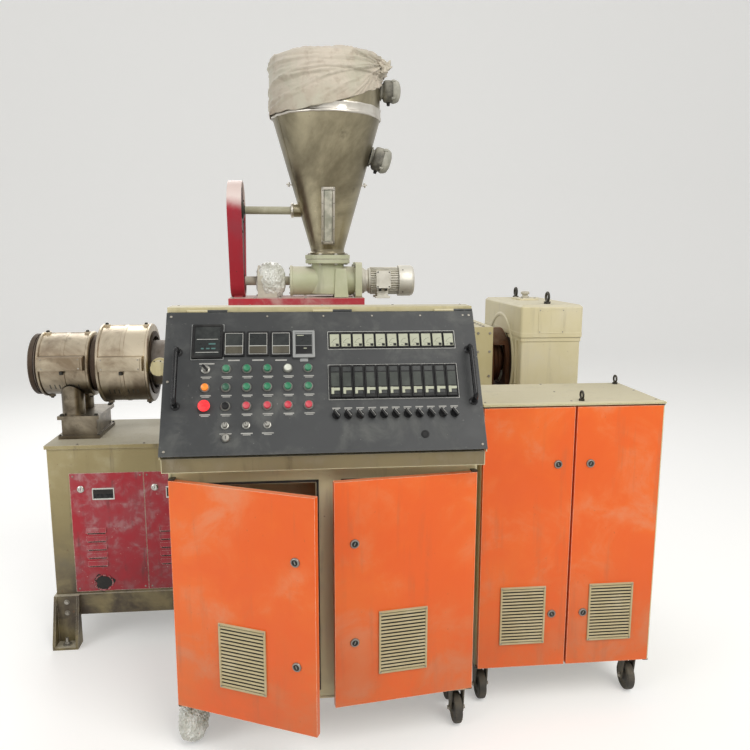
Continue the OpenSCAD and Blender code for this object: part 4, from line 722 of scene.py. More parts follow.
def addCover():  # the dusty sheet over the hopper's mouth, gathered to a knot at its right
    c = cover
    bm = bmesh.new()
    grid = bmesh.ops.create_grid(bm, x_segments=300, y_segments=84, size=0.5)["verts"]
    knot = Vector(c["knot"])
    for v in grid:
        turn, share = (v.co.x + 0.5) * math.tau, v.co.y + 0.5
        outward = Vector((math.cos(turn), math.sin(turn), 0))
        if share < 0.4:
            s = share / 0.4
            r = c["radius"] * s * 0.985
            spot = (Vector((0, 0, c["shoulder"] + 3 + (c["crown"] - c["shoulder"] - 12) * (1 - s ** 2.4)))
                    + outward * r)
            push = Vector((0, 0, 1)) * (0.35 + 0.65 * s) + outward * 0.4 * s
        else:
            s = (share - 0.4) / 0.6
            r = c["radius"] - 3.5 * math.exp(-s * 30) + 2.0 * s
            high = c["shoulder"] + 3 * math.exp(-s * 40) - (c["shoulder"] - hemHeight(turn)) * s
            lap = (2126 + 82 * (1 - math.exp(-2.4 * (outward.x + 1))) - 10 * outward.x
                   + 7 * noise.noise(Vector((outward.x * 3, 2, 9))))
            over = min(1, max(0, (high - lap) / 2 + 0.5)) * min(1, max(0, -outward.y * 3))
            r += 10 * over * math.exp(-max(0, high - lap) / 40)
            spot = Vector((0, 0, high)) + outward * r
            push = outward
        spot += Vector((hopper["x"], axisY, 0))
        away = spot - knot
        reach = max(away.length, 1)
        bearing = math.atan2(away.z + 0.16 * reach, math.hypot(away.x, away.y))  # folds fan out from the knot
        ridge = 0.0
        for n, (pitch, size) in enumerate(c["folds"]):
            wave = noise.noise(Vector((bearing * pitch, reach * 0.0028, 7.3 * n + 0.9 * outward.y)))
            ridge += ((1 - min(1, abs(wave) * 3.0)) ** 1.6 - 0.35) * size
        hold = 0.5 + 0.5 * math.exp(-reach / 200)
        loose = noise.noise(Vector((spot.x * 0.009, spot.y * 0.009, spot.z * 0.016))) * c["sag"]
        crease = (0.4 - abs(noise.noise(Vector((spot.x * 0.022, spot.y * 0.022, spot.z * 0.038 + 4))))) * 5.0
        bunch = 12 * math.exp(-(reach / 34) ** 2)
        lift = max(ridge * hold + loose + crease + bunch, -2.0)
        v.co = spot + push * min(lift, 17 if share >= 0.4 else 10)
    bmesh.ops.remove_doubles(bm, verts=bm.verts, dist=0.4)
    bmesh.ops.recalc_face_normals(bm, faces=bm.faces)
    sheet = addPiece("hopperCover", bm, "cloth", sharp=180, replaces=("hopper_cloth",))
    addKnot(knot)
    thick = sheet.modifiers.new("thickness", "SOLIDIFY")
    thick.thickness, thick.offset = 0.0014, 1
    print("hopper cover draped:", len(sheet.data.vertices), "points")


# ---- instruments on the control lid


panel = {"pitch": 35, "count": 11, "firstButton": 121.5, "buttonPitch": 59.8, "topRow": 261, "rowPitch": 58}
ammeter = {"u": 487, "v": 325, "wide": 29, "tall": 50, "proud": 6}
controller = {"u": 484, "v": 165, "wide": 31, "tall": 100, "proud": 10, "border": 2.4}
selector = {"u": 500, "v": 112}
instrumentNodes = ("ammeters", "temperature_controllers", "panel_meters", "selector_knobs")  # cased in black
bows = {"sides": (40, 911), "low": 148, "span": 168, "radius": 7.4, "reach": 38, "bend": 15}
meters = [(173, 303, 59, 75), (243, 303, 60, 75), (312, 302, 58, 76)]
smallDisplay = (378, 295, 62, 84)
bigDisplay = (84, 299, 81, 100)
buttonRows = [["switch", "green", "green", "green", "capWhite", "green"],
              ["orangeCap", "deepGreen", "green", "green", "green", "green"],
              ["litRed", "black", "red", "red", "red", "red"],
              [None, "knob", "knob", "knob", None, None]]


def lidPiece(name, bm, finish, bevel=0.0, replaces=()):
    return addPiece(name, bm, finish, "control_lid", bevel, replaces=replaces)


def addBow(bm, place, radius, reach, span, bend):  # a round bar up from its foot, along Y and down again
    before = set(bm.verts)
    bar = bmesh.ops.create_circle(bm, cap_ends=True, radius=radius, segments=20)["verts"]
    edges = list({e for v in bar for e in v.link_edges})
    steps = [("run", (0, 0, reach - bend)), ("turn", (0, bend, reach - bend)),
             ("run", (0, span - 2 * bend, 0)), ("turn", (0, span - bend, reach - bend)),
             ("run", (0, 0, bend - reach))]
    for kind, by in steps:
        if kind == "run":
            out = bmesh.ops.extrude_edge_only(bm, edges=edges)["geom"]
            moved = [g for g in out if isinstance(g, bmesh.types.BMVert)]
            bmesh.ops.translate(bm, verts=moved, vec=by)
        else:
            out = bmesh.ops.spin(bm, geom=edges + list({v for e in edges for v in e.verts}), cent=by,
                                 axis=(-1, 0, 0), dvec=(0, 0, 0), angle=math.pi / 2, steps=7,
                                 use_merge=False, use_duplicate=False)["geom_last"]
        ends = {g for g in out if isinstance(g, bmesh.types.BMVert)}
        edges = [g for g in out if isinstance(g, bmesh.types.BMEdge) and all(v in ends for v in g.verts)]
    bmesh.ops.contextual_create(bm, geom=edges)
    bmesh.ops.transform(bm, matrix=place, verts=[v for v in bm.verts if v not in before])


def addInstruments():
    parts = {key: bmesh.new()
             for key in ("white", "black", "window", "dimWindow", "brownWindow", "line", "label", "grey",
                         "teal")}
    faces, dark, lines = parts["white"], parts["black"], parts["line"]
    for i in range(panel["count"]):
        # an ammeter: black case, pale face, scale arc, needle and the black corner over its pivot
        a = ammeter
        u, v = a["u"] + i * panel["pitch"] + a["wide"] / 2, a["v"] + a["tall"] / 2
        addBezel(dark, onLid(u, v), a["wide"] + 3.4, a["tall"] + 2, a["proud"], 1.4, 1.8, 1.2)
        addPlate(faces, onLid(u, v - 1.5, a["proud"] - 1.9), a["wide"] - 0.6, 40.5, 0.9, 1)
        pivot = onLid(u + a["wide"] * 0.30, v - a["tall"] * 0.26, a["proud"] - 1.05)
        addArc(dark, pivot, 16.6, 17.2, 92, 172)
        for k in range(6):
            tick = pivot @ Matrix.Rotation(math.radians(94 + 15 * k), 4, "Z")
            addBox(dark, (16, -0.2, 0), (18.4, 0.2, 0.25), tick)
        addBox(dark, (0, -0.22, 0.2), (14.5, 0.22, 0.5),
               pivot @ Matrix.Rotation(math.radians(168 - (i * 7) % 5), 4, "Z"))
        addPlate(dark, onLid(u + 8, v - 16.5, a["proud"] - 1.1), 9, 8, 0.8, 1.5)
        addBox(dark, (-7, -0.6, 0), (-2, 0.6, 0.3), onLid(u, v - 17, a["proud"] - 1.1))
        # a temperature controller: black case, display, grey window and its white setting strip
        c = controller
        u, v = c["u"] + i * panel["pitch"] + c["wide"] / 2, c["v"] + c["tall"] / 2
        addBezel(dark, onLid(u, v), c["wide"] + 2, c["tall"] + 2, c["proud"], c["border"], 2.0, 1.6)
        floor = c["proud"] - 2.0
        addPlate(parts["window"], onLid(u, v + 38, floor), 24, 14, 0.9, 1)
        addPlate(parts["dimWindow"], onLid(u, v + 5, floor), 24, 44, 1.2, 1)
        addPlate(faces, onLid(u - 8, v - 30, floor), 8, 20, 1.4, 0.6)
        addPlate(faces, onLid(u + 4, v - 25, floor), 18, 8.5, 1.4, 0.6)
        addPlate(parts["window"], onLid(u + 4.5, v - 36, floor), 14, 9, 0.8, 0.6)
        addBox(parts["dimWindow"], (-11, -0.7, 0), (11, 0.7, 0.5), onLid(u, v - 45.5, floor))
        addPlate(parts["label"], onLid(u + 1, 133.5), 23, 3.4, 0.4)
        addPlate(parts["label"], onLid(u - 1, 129), 17, 2.2, 0.4)
        # a rotary selector with its angled grip
        knob = onLid(selector["u"] + i * panel["pitch"], selector["v"])
        addTurned(dark, knob, [(0, 0), (12, 0), (12, 2.5), (10.5, 4), (8, 4.4), (7.4, 9), (0, 9.4)], 24)
        grip = knob @ Matrix.Rotation(math.radians(35 + (i % 3) * 1.5), 4, "Z")
        addPlate(dark, grip @ Matrix.Translation((0, 0, 5)), 7.5, 27, 15, 3, 3)
        addBox(lines, (2.3, -11, 0), (3.1, 11, 0.3), grip @ Matrix.Translation((0, 0, 19.9)))
    span = panel["count"] * panel["pitch"]
    for row, more, tall, line, thick in ((ammeter, 5, 58, 1.4, 1.2), (controller, 4, 110, 1.2, 0.8)):
        middle = row["u"] + panel["count"] // 2 * panel["pitch"] + row["wide"] / 2  # outlines round both rows
        frameLine(lines, onLid(middle, row["v"] + row["tall"] / 2), span + more, tall, line, thick)
    for m in meters:  # three meters with their thin white outlines and two windows
        u, v = m[0] + m[2] / 2, m[1] + m[3] / 2
        addBezel(dark, onLid(u, v), m[2] + 4, m[3] + 4, 7, 5, 1.8, 2)
        addPlate(parts["window"], onLid(u, v + 12, 5.2), m[2] - 8, 40, 0.8)
        addPlate(parts["brownWindow"], onLid(u, v - 20, 5.2), m[2] - 8, 22, 0.8)
        frameLine(lines, onLid(u, v, 5.4), m[2] - 7, m[3] - 7, 1.8, 1.0)
        addBox(lines, (-m[2] / 2 + 4, -0.9, 0), (m[2] / 2 - 4, 0.9, 1.0), onLid(u, v - 7.5, 5.4))
        addPlate(parts["label"], onLid(u, m[1] - 14), 34, 4, 0.4)
    m = smallDisplay
    u, v = m[0] + m[2] / 2, m[1] + m[3] / 2
    addBezel(parts["grey"], onLid(u, v), m[2] + 4, m[3] + 4, 9, 7, 3, 3)
    addPlate(parts["window"], onLid(u, v + 14, 6), m[2] - 14, 36, 1)
    addPlate(dark, onLid(u, v - 19, 6), m[2] - 14, 26, 1)
    addPlate(faces, onLid(u - 10, v + 28, 7), 20, 2.4, 0.4)
    addPlate(faces, onLid(u + 4, v - 14, 7), 9, 3, 0.4)
    addPlate(parts["grey"], onLid(u, m[1] - 8), 24, 10, 2, 1)
    m = bigDisplay
    u, v = m[0] + m[2] / 2, m[1] + m[3] / 2
    addBezel(dark, onLid(u, v), m[2] + 8, m[3] + 8, 9, 7, 2.6, 3)
    addPlate(parts["window"], onLid(u, v, 6.4), m[2] - 7, m[3] - 7, 0.8, 1)
    frameLine(parts["grey"], onLid(u, v), m[2] + 13, m[3] + 13, 2.2, 1.2)
    for k, (rise, width) in enumerate(((6, 62), (-36, 66))):
        addBox(lines, (-width / 2, -0.7, 0), (width / 2, 0.7, 0.5), onLid(u, v + rise, 7.1))
    for du, dv, width in ((14, -9, 20), (-14, -24, 8), (2, -24, 10), (18, -24, 12)):
        addPlate(parts["teal"], onLid(u + du, v + dv, 7.1), width, 4.5, 0.4, 0.8)
    addPlate(parts["label"], onLid(u, m[1] - 20), 44, 4, 0.4)
    for key, bm in parts.items():
        lidPiece("lid_" + key, bm, key, bevel=0.35 if key in ("white", "black", "grey") else 0,
                 replaces=instrumentNodes if key == "black" else ())
    print("instruments:", panel["count"] * 3 + len(meters) + 2)


def addButtons():
    caps, rings, labels, blackBitsAndHoleShade = {}, bmesh.new(), bmesh.new(), bmesh.new()
    for row, colours in enumerate(buttonRows):
        for column, colour in enumerate(colours):
            if colour is None:
                continue
            u = panel["firstButton"] + column * panel["buttonPitch"]
            v = panel["topRow"] - row * panel["rowPitch"]
            spot = onLid(u, v)
            if colour == "switch":
                addTurned(rings, spot,
                          [(0, 0), (13.5, 0), (13.5, 2.5), (11, 4.5), (9, 5), (8.5, 12), (0, 12.4)], 32)
                addPlate(blackBitsAndHoleShade,
                         spot @ Matrix.Rotation(math.radians(40), 4, "Z") @ Matrix.Translation((0, 0, 11)),
                         6, 24, 9, 2.6, 3)
            elif colour == "knob":
                addTurned(rings, spot,
                          [(0, 0), (11, 0), (11, 2), (7.6, 3), (7.2, 13), (6, 14.4), (0, 14.6)], 28)
                addBox(blackBitsAndHoleShade, (-0.7, 0, 14.4), (0.7, 7, 15),
                       spot @ Matrix.Rotation(math.radians(-30 + 25 * column), 4, "Z"))
            else:
                big = colour == "litRed"
                wide = 17 if big else 10.4
                side, edge, dish, face = (13, 14, 13.2, 12.9) if big else (11.4, 12.4, 11.2, 10.9)
                addTurned(rings, spot,
                          [(9, 0), (14.5, 0), (14.5, 2.4), (13.4, 4.6), (12.4, 5.6), (11.4, 5.6),
                           (11.2, 3), (9, 3), (9, 0)], 36)
                cap = caps.setdefault(colour, bmesh.new())
                addTurned(cap, spot, [(0, 2.5), (9.8, 2.5), (10.4, 3), (10.4, 8), (wide, 9.5), (wide, side),
                                      (wide - 1.4, edge), (wide * 0.6, dish), (0, face)], 32)
            addPlate(labels, onLid(u + 2, v - 24), 30 if row < 3 else 34, 3.2, 0.4)
            addPlate(labels, onLid(u + 2, v - 28.4), 22, 2.2, 0.4)
    for colour, bm in caps.items():
        lidPiece("caps_" + colour, bm, colour, replaces=("push_buttons",) if colour == "green" else ())
    for (u, v), broken in (((185, 50), False), ((757, 49), True)):  # the key lock, and the hole of a lost one
        if broken:
            addTurned(blackBitsAndHoleShade, onLid(u, v), [(8, 0.2), (12, 0.2), (12, 1.6), (8.5, 1.9), (8, 0.2)], 28)
            # a black disc in the hole: painted shade for its inside
            addDrum(blackBitsAndHoleShade, onLid(u, v, 0.3), 8.2, 1.0)
        else:
            addTurned(rings, onLid(u, v), [(0, 0), (13, 0), (13, 3), (12, 8), (9, 11), (0, 12)], 32)
            addBox(blackBitsAndHoleShade, (-0.9, -4.5, 11.6), (0.9, 4.5, 12.4), onLid(u, v))
    lidPiece("buttonRings", rings, "ringSteel")
    lidPiece("buttonLabels", labels, "label")
    lidPiece("lidBlackBitsAndHoleShade", blackBitsAndHoleShade, "black", 0.3)
    bm = bmesh.new()  # feet of the lid's bow handles
    for u in bows["sides"]:
        for v in (bows["low"], bows["low"] + bows["span"]):
            addTurned(bm, onLid(u, v),
                      [(6.2, 0.1), (13, 0.1), (13, 1.6), (11, 3.6), (7.5, 6), (6.2, 6.2), (6.2, 0.1)], 28)
    lidPiece("handleFeet", bm, "gloss")
    bm = bmesh.new()  # the bow handles, each one bent bar
    for u in bows["sides"]:
        addBow(bm, onLid(u, bows["low"]), bows["radius"], bows["reach"], bows["span"], bows["bend"])
    lidPiece("bowHandles", bm, "gloss", replaces=("lid_handles",))
    bm = bmesh.new()  # screws round the lid's edge
    for u in (14, 924):
        for v in (14, 224, 433):
            addScrew(bm, onLid(u, v), 4)
    for u in (300, 470, 620, 770, 905):
        addScrew(bm, onLid(u, 433), 3.2)
    lidPiece("lidScrews", bm, "screwSteel")
    print("buttons and locks placed")


# ---- doors


doors = {  # hinge pin, lower edge, side, opening at rest, width, height, and the places of grille and locks
    "console_door_left": {"pin": (601, -16), "low": 172, "side": 1, "angle": 25, "wide": 460, "tall": 708,
                          "grille": (152, 95), "edge": 60, "locks": (206, 518)},
    "console_door_right": {"pin": (1493, -16), "low": 172, "side": -1, "angle": 8, "wide": 438, "tall": 708,
                           "grille": (152, 95), "edge": 60, "locks": (206, 518)},
    "cabinet_door_left": {"pin": (1557, 108), "low": 158, "side": 1, "angle": 0, "wide": 296, "tall": 889,
                          "grille": (70, 84), "edge": 50, "locks": (186, 702)},
    "cabinet_door_right": {"pin": (2139, 108), "low": 158, "side": -1, "angle": 0, "wide": 290, "tall": 889,
                           "grille": (70, 84), "edge": 50, "locks": (186, 702)},
}
grille = {"wide": 152, "tall": 202, "border": 6, "proud": 6, "blades": 17}


def addDoors():
    for body, d in doors.items():
        place = onDoor(d["pin"], d["low"], d["side"], d["angle"])
        outward = Matrix.Rotation(math.pi / 2, 4, "X")  # turns a plate's own Z to the door's outside
        bm = bmesh.new()
        u, v = d["grille"]
        g = grille
        for low, high in (((u, v), (u + g["border"], v + g["tall"])),
                          ((u + g["wide"] - g["border"], v), (u + g["wide"], v + g["tall"])),
                          ((u + g["border"], v), (u + g["wide"] - g["border"], v + g["border"])),
                          ((u + g["border"], v + g["tall"] - g["border"]),
                           (u + g["wide"] - g["border"], v + g["tall"]))):
            addBox(bm, (low[0], -g["proud"], low[1]), (high[0], -0.1, high[1]), place)
        step = (g["tall"] - 2 * g["border"]) / g["blades"]
        for k in range(g["blades"]):
            blade = (place @ Matrix.Translation((u, -3.6, v + g["border"] + (k + 0.5) * step))
                     @ Matrix.Rotation(math.radians(-24), 4, "X"))
            addBox(bm, (g["border"] - 1, -0.9, -step * 0.27),
                   (g["wide"] - g["border"] + 1, 0.9, step * 0.25), blade)
        addPiece(body + "_grille", bm, "grille", body, 0.5, replaces=(body + "_fittings",))
        bm, slots = bmesh.new(), bmesh.new()
        # a dark plate behind the grille's blades: painted shade in the slots between them
        addBox(slots, (u + g["border"] - 2, -0.9, v + g["border"] - 2),
               (u + g["wide"] - g["border"] + 2, -0.2, v + g["tall"] - g["border"] + 2), place)
        for du in (5, g["wide"] - 5):
            for dv in (5, g["tall"] - 5):
                addScrew(bm, place @ Matrix.Translation((u + du, -g["proud"], v + dv)) @ outward, 2.6)
        for lock in d["locks"]:
            spot = place @ Matrix.Translation((d["wide"] - d["edge"], 0, lock)) @ outward
            addTurned(bm, spot,
                      [(7, 0.1), (14, 0.1), (14, 2), (12.5, 4.4), (9.5, 5.4), (9, 3), (7, 3), (7, 0.1)], 32)
            addDrum(slots, spot @ Matrix.Translation((0, 0, 1)), 9, 2.6, segments=24)
            addBox(bm, (-1.2, -5, 3), (1.2, 5, 4.6), spot @ Matrix.Rotation(math.radians(20), 4, "Z"))
        addPiece(body + "_locks", bm, "ringSteel", body)
        addPiece(body + "_lockHearts", slots, "sealBlackAndShade", body)
    bm = bmesh.new()  # the rubbed fold down the last door's hinge edge, at the cabinet's outer side
    addBox(bm, (0.3, -0.5, 1), (3.4, 0.1, d["tall"] - 1), place)
    addPiece("rubbedDoorEdge", bm, "paintedLightFrameCream", body)
    print("doors fitted:", len(doors))


# ---- machine base


basePanels = {"first": 84, "pitch": 279, "wide": 277, "tall": 483, "low": 209, "count": 7, "face": 702,
              "backFace": 1128}


def addBaseParts():
    hoods, cups, dark, screws, shade = bmesh.new(), bmesh.new(), bmesh.new(), bmesh.new(), bmesh.new()
    b = basePanels
    for side in (0, 1):
        for i in range(b["count"]):
            x = b["first"] + i * b["pitch"]
            place = Matrix.Translation((x, b["face"], b["low"]))
            if side:
                place = (Matrix.Translation((x + b["wide"], b["backFace"], b["low"]))
                         @ Matrix.Rotation(math.pi, 4, "Z"))
            for k in range(5):  # pressed louvre hoods over their slots, with bare lips
                low = 100 + k * 34
                hood = addBox(hoods, (50, -8, low + 7), (126, 1, low + 24), place)
                tops = sorted(hood, key=lambda v: v.co.z)[4:]
                fronts = sorted(tops, key=lambda v: (place.inverted() @ v.co).y)[:2]
                bmesh.ops.translate(hoods, verts=fronts, vec=place.to_3x3() @ Vector((0, 7.6, 0)))
                addBox(dark, (55, -0.2, low), (121, 3.5, low + 8.5), place)
            addBezel(cups,
                     place @ Matrix.Translation((123.5, 0.4, b["tall"] - 84))
                     @ Matrix.Rotation(math.pi / 2, 4, "X"), 84, 48, 2.0, 3.5, 0.9, 2)
            # dark boxes fill the pull's cup: painted shade in its hollow
            addBox(dark, (86, -0.8, b["tall"] - 84), (161, 3, b["tall"] - 66), place)
            addBox(shade, (86, -0.8, b["tall"] - 102), (161, 3, b["tall"] - 84), place)
            spot = place @ Matrix.Translation((40, 0, b["tall"] - 63)) @ Matrix.Rotation(math.pi / 2, 4, "X")
            addTurned(cups, spot, [(0, 0), (14, 0), (14, 2), (12, 4), (8, 5), (7.5, 3.4), (0, 3.4)], 28)
            addBox(dark, (-1, -4.5, 3.2), (1, 4.5, 4.2), spot)
            for u, v in ((12, 12), (b["wide"] - 12, 12), (12, b["tall"] - 12),
                         (b["wide"] - 12, b["tall"] - 12)):
                addScrew(screws,
                         place @ Matrix.Translation((u, 0, v)) @ Matrix.Rotation(math.pi / 2, 4, "X"), 3.6)
    # the torn hole low in the first front panel, with its bent edge; the hole is a dark disc on the panel,
    # painted shade for its inside
    torn = (Matrix.Translation((b["first"] + 106, b["face"], b["low"] + 34))
            @ Matrix.Rotation(math.pi / 2, 4, "X"))
    rag = bmesh.ops.create_circle(dark, cap_ends=True, radius=1, segments=28)["verts"]
    for n, v in enumerate(rag):
        a = math.tau * n / len(rag)
        wide = 36 + 9 * noise.noise(Vector((n * 0.9, 3, 1))) + 7 * math.sin(3 * a + 1) + 3 * math.sin(7 * a)
        v.co = torn @ Vector((wide * math.cos(a), wide * 0.92 * math.sin(a),
                              0.5 + 0.6 * noise.noise(Vector((n, 1, 2)))))
    for n in range(14):
        a = math.tau * n / 14 + 0.15 * math.sin(n * 5)
        lip = (torn @ Matrix.Translation((34 * math.cos(a), 31 * math.sin(a), 0.4))
               @ Matrix.Rotation(a, 4, "Z"))
        addBox(hoods, (-2, -5.5, 0), (2.5 + (n % 3), 5.5, 1.2 + (n % 4) * 0.9),
               lip @ Matrix.Rotation(math.radians(-24 - 9 * (n % 3)), 4, "Y"))
    addPiece("louvreHoods", hoods, "panelRed", bevel=0.6)
    addPiece("fingerPulls", cups, "chrome", bevel=0.5)
    addPiece("fingerPullPaintedShade", shade, "window")
    addPiece("louvreShadows", dark, "sealBlackAndShade")
    for x in (48, 2116):  # floor anchors with their nuts
        for y, side in ((660, -1), (1170, 1)):
            addDrum(screws, Matrix.Translation((x, y, 10)), 17, 3, segments=20)
            addBolt(screws, Matrix.Translation((x, y, 12.5)), 12, False)
            addDrum(screws, Matrix.Translation((x, y, 13)), 7, 26, 6.4, segments=14)
            for dz in (130, 175):
                addBolt(screws, aim((x, 686 if side < 0 else 1144, dz), (0, side, 0)), 9)
    for x in range(120, 2120, 250):
        for y in (706, 1124):
            addBolt(screws, Matrix.Translation((x, y, 805)), 5)
    addPiece("baseScrews", screws, "screwSteel")
    print("base panels finished")


# ---- barrel and heater covers


covers = {"starts": (-44, 186, 470, 678), "radii": (129, 158, 158, 158), "length": 200,
          "proud": 18, "rise": 18, "axis": (axisY, barrelZ)}


def addCovers():
    shells, strips, screws, dark = bmesh.new(), bmesh.new(), bmesh.new(), bmesh.new()
    y, z = covers["axis"]
    long = covers["length"]
    for x, r in zip(covers["starts"], covers["radii"]):
        place = aim((x, y, z), (1, 0, 0))
        bore = 100 if r < 140 else 108
        addTurned(shells, place,
                  [(bore, 0.5), (r - 9, 0.5), (r - 3, 2), (r, 5), (r, 11), (r - 3, 14), (r - 6, 15),
                   (r - 6, 92), (r - 4.2, 94), (r - 4.2, 106), (r - 6, 108), (r - 6, long - 15),
                   (r - 3, long - 14), (r, long - 11), (r, long - 5), (r - 3, long - 2),
                   (r - 9, long - 0.5), (bore, long - 0.5), (bore, 0.5)], 96)
        middle = z + covers["rise"]
        box = addBox(strips, (x + 14, y - r - covers["proud"], middle - 32),
                     (x + long - 14, y - r + 44, middle + 32))
        outer = [v for v in box if v.co.y < y - r]
        bmesh.ops.scale(strips, vec=(0.96, 1, 0.84), verts=outer,
                        space=Matrix.Translation((-(x + long / 2), -y, -middle)))
        addBox(strips, (x + 24, y - r - covers["proud"] - 2, middle - 24),
               (x + long - 24, y - r - covers["proud"] + 1, middle + 24))
        for dx in (31, long - 31):
            for dz in (-18, 18):
                addScrew(screws, aim((x + dx, y - r - covers["proud"] - 2, middle + dz), (0, -1, 0)), 3.2)
        for dx in (24, long - 24):  # clamp screws and their blocks on the top seam, and hinges at the bottom
            for turn in (8, 172):
                around = Matrix.Translation((x + dx, y, z)) @ Matrix.Rotation(math.radians(turn), 4, "X")
                addBox(strips, (-11, -8, r - 8), (11, 8, r + 3), around)
                addBolt(dark, around @ Matrix.Translation((0, 0, r + 3)), 7)
        for k in range(7):  # cooling slots at the lower front, as thin dark strips on the shell: painted shade for the slots
            around = Matrix.Translation((x + 44 + k * 18, y, z)) @ Matrix.Rotation(math.radians(130), 4, "X")
            addBox(dark, (-2.2, -12, r - 6.4), (2.2, 12, r - 5.6), around)
        addBox(strips, (x + 14, y - 3, z + r - 7), (x + long - 14, y + 3, z + r - 3.6))
        # cable gland
        addDrum(dark, aim((x + long / 2, y - r - 4, middle - 31), (0, 0, -1)), 8, 12, segments=20)
    addPiece("coverShells", shells, "coverSteel", sharp=28, replaces=("heater_covers",))
    addPiece("coverStrips", strips, "coverSteel", bevel=1.2)
    addPiece("coverScrews", screws, "screwSteel")
    addPiece("coverClampsAndSlotShade", dark, "darkSteel")
    bands = bmesh.new()  # dark heater bands between the covers and at the die end
    for x, r, wide in ((-71, 121.5, 18), (-50, 122, 5), (157, 113, 28), (387, 128, 4), (671, 126, 6)):
        addTurned(bands, aim((x, y, z), (1, 0, 0)),
                  [(r - 20, 0), (r - 3, 0), (r, 1), (r, wide - 1), (r - 3, wide), (r - 20, wide),
                   (r - 20, 0)], 72)
    addPiece("heaterBands", bands, "darkBand")
    bm = bmesh.new()  # bolts of the end flange and the feed jacket, and of the vent's flange
    for i in range(12):
        a = math.radians(15 + 30 * i)
        addBolt(bm, aim((1644, y + 130 * math.cos(a), z + 130 * math.sin(a)), (-1, 0, 0)), 9)
    for i in range(8):
        a = math.radians(22.5 + 45 * i)
        addBolt(bm, aim((886, y + 114 * math.cos(a), z + 114 * math.sin(a)), (-1, 0, 0)), 5)
        addBolt(bm, aim((428 + 31 * math.cos(a), 743, z + 31 * math.sin(a)), (0, -1, 0)), 3.4, False)
    for x in (38, 168):
        for side in (-1, 1):
            addBolt(bm, aim((x, y + side * 104, 897), (0, 0, 1)), 8)
            addBolt(bm, aim((x - 8 if x < 90 else x + 8, y + side * 114, 819), (0, 0, 1)), 5)
    addPiece("barrelBolts", bm, "darkSteel")
    print("heater covers finished:", len(covers["starts"]))


# ---- feeder


feeder = {"x": hopper["x"], "y": axisY, "screwZ": 1420, "left": 938, "motorX": 1228.3}


def addFeeder():
    f = feeder
    bm = bmesh.new()  # the casting: its tube, the drum of its neck and its flared leg
    along = aim((f["left"], f["y"], f["screwZ"]), (1, 0, 0))
    addTurned(bm, along, [(0, 0), (60, 0), (62, 2), (62, 9), (60, 11), (58, 12), (58, 264), (0, 264)], 64)
    neck = Matrix.Translation((f["x"], f["y"], 0))
    addTurned(bm, neck,
              [(0, 1366), (66, 1366), (71, 1369), (74, 1376), (73, 1400), (69, 1440), (66, 1470),
               (66, 1491), (0, 1491)], 72)
    leg = addBox(bm, (1121, f["y"] - 66, 1356), (1163, f["y"] + 66, 1470))
    low = [v for v in leg if v.co.z < 1400]
    bmesh.ops.scale(bm, vec=(1.35, 1.2, 1), verts=low, space=Matrix.Translation((-1136, -f["y"], 0)))
    addPiece("feederCasting", bm, "greenCream", bevel=3.0, segments=3, replaces=("feeder_housing",))
    bm = bmesh.new()
    addTurned(bm, neck,
              [(60, 1490), (88, 1490), (90, 1492), (90, 1505), (88, 1507.6), (60, 1507.6), (60, 1490)], 72)
    addPlate(bm, aim((1201, f["y"], 1425), (1, 0, 0)), 150, 140, 26.5, 10)
    addBox(bm, (1126, f["y"] - 74, 1355.3), (1160, f["y"] + 74, 1365))
    addPiece("feederFlanges", bm, "greenCream", bevel=1.5)
    bm = bmesh.new()
    for dy in (-60, 60):
        for dz in (-52, 58):
            addBolt(bm, aim((1201, f["y"] + dy, 1422 + dz), (-1, 0, 0)), 7)
        addBolt(bm, aim((1143, f["y"] + dy * 1.1, 1365), (0, 0, 1)), 5)
    for x in (714, 800, 900, 1000, 1190):
        for dy in (-104, 104):
            addBolt(bm, aim((x, f["y"] + dy, 1354.7), (0, 0, 1)), 6)
    for i in range(6):
        a = math.radians(30 + 60 * i)
        addBolt(bm, aim((938, f["y"] + 50 * math.cos(a), 1420 + 50 * math.sin(a)), (-1, 0, 0)), 4, False)
    addPiece("feederBolts", bm, "screwSteel")
    addMotor()


motor = {"bodyR": 49, "finR": 56, "fins": 34, "long": 161, "cowlR": 63}


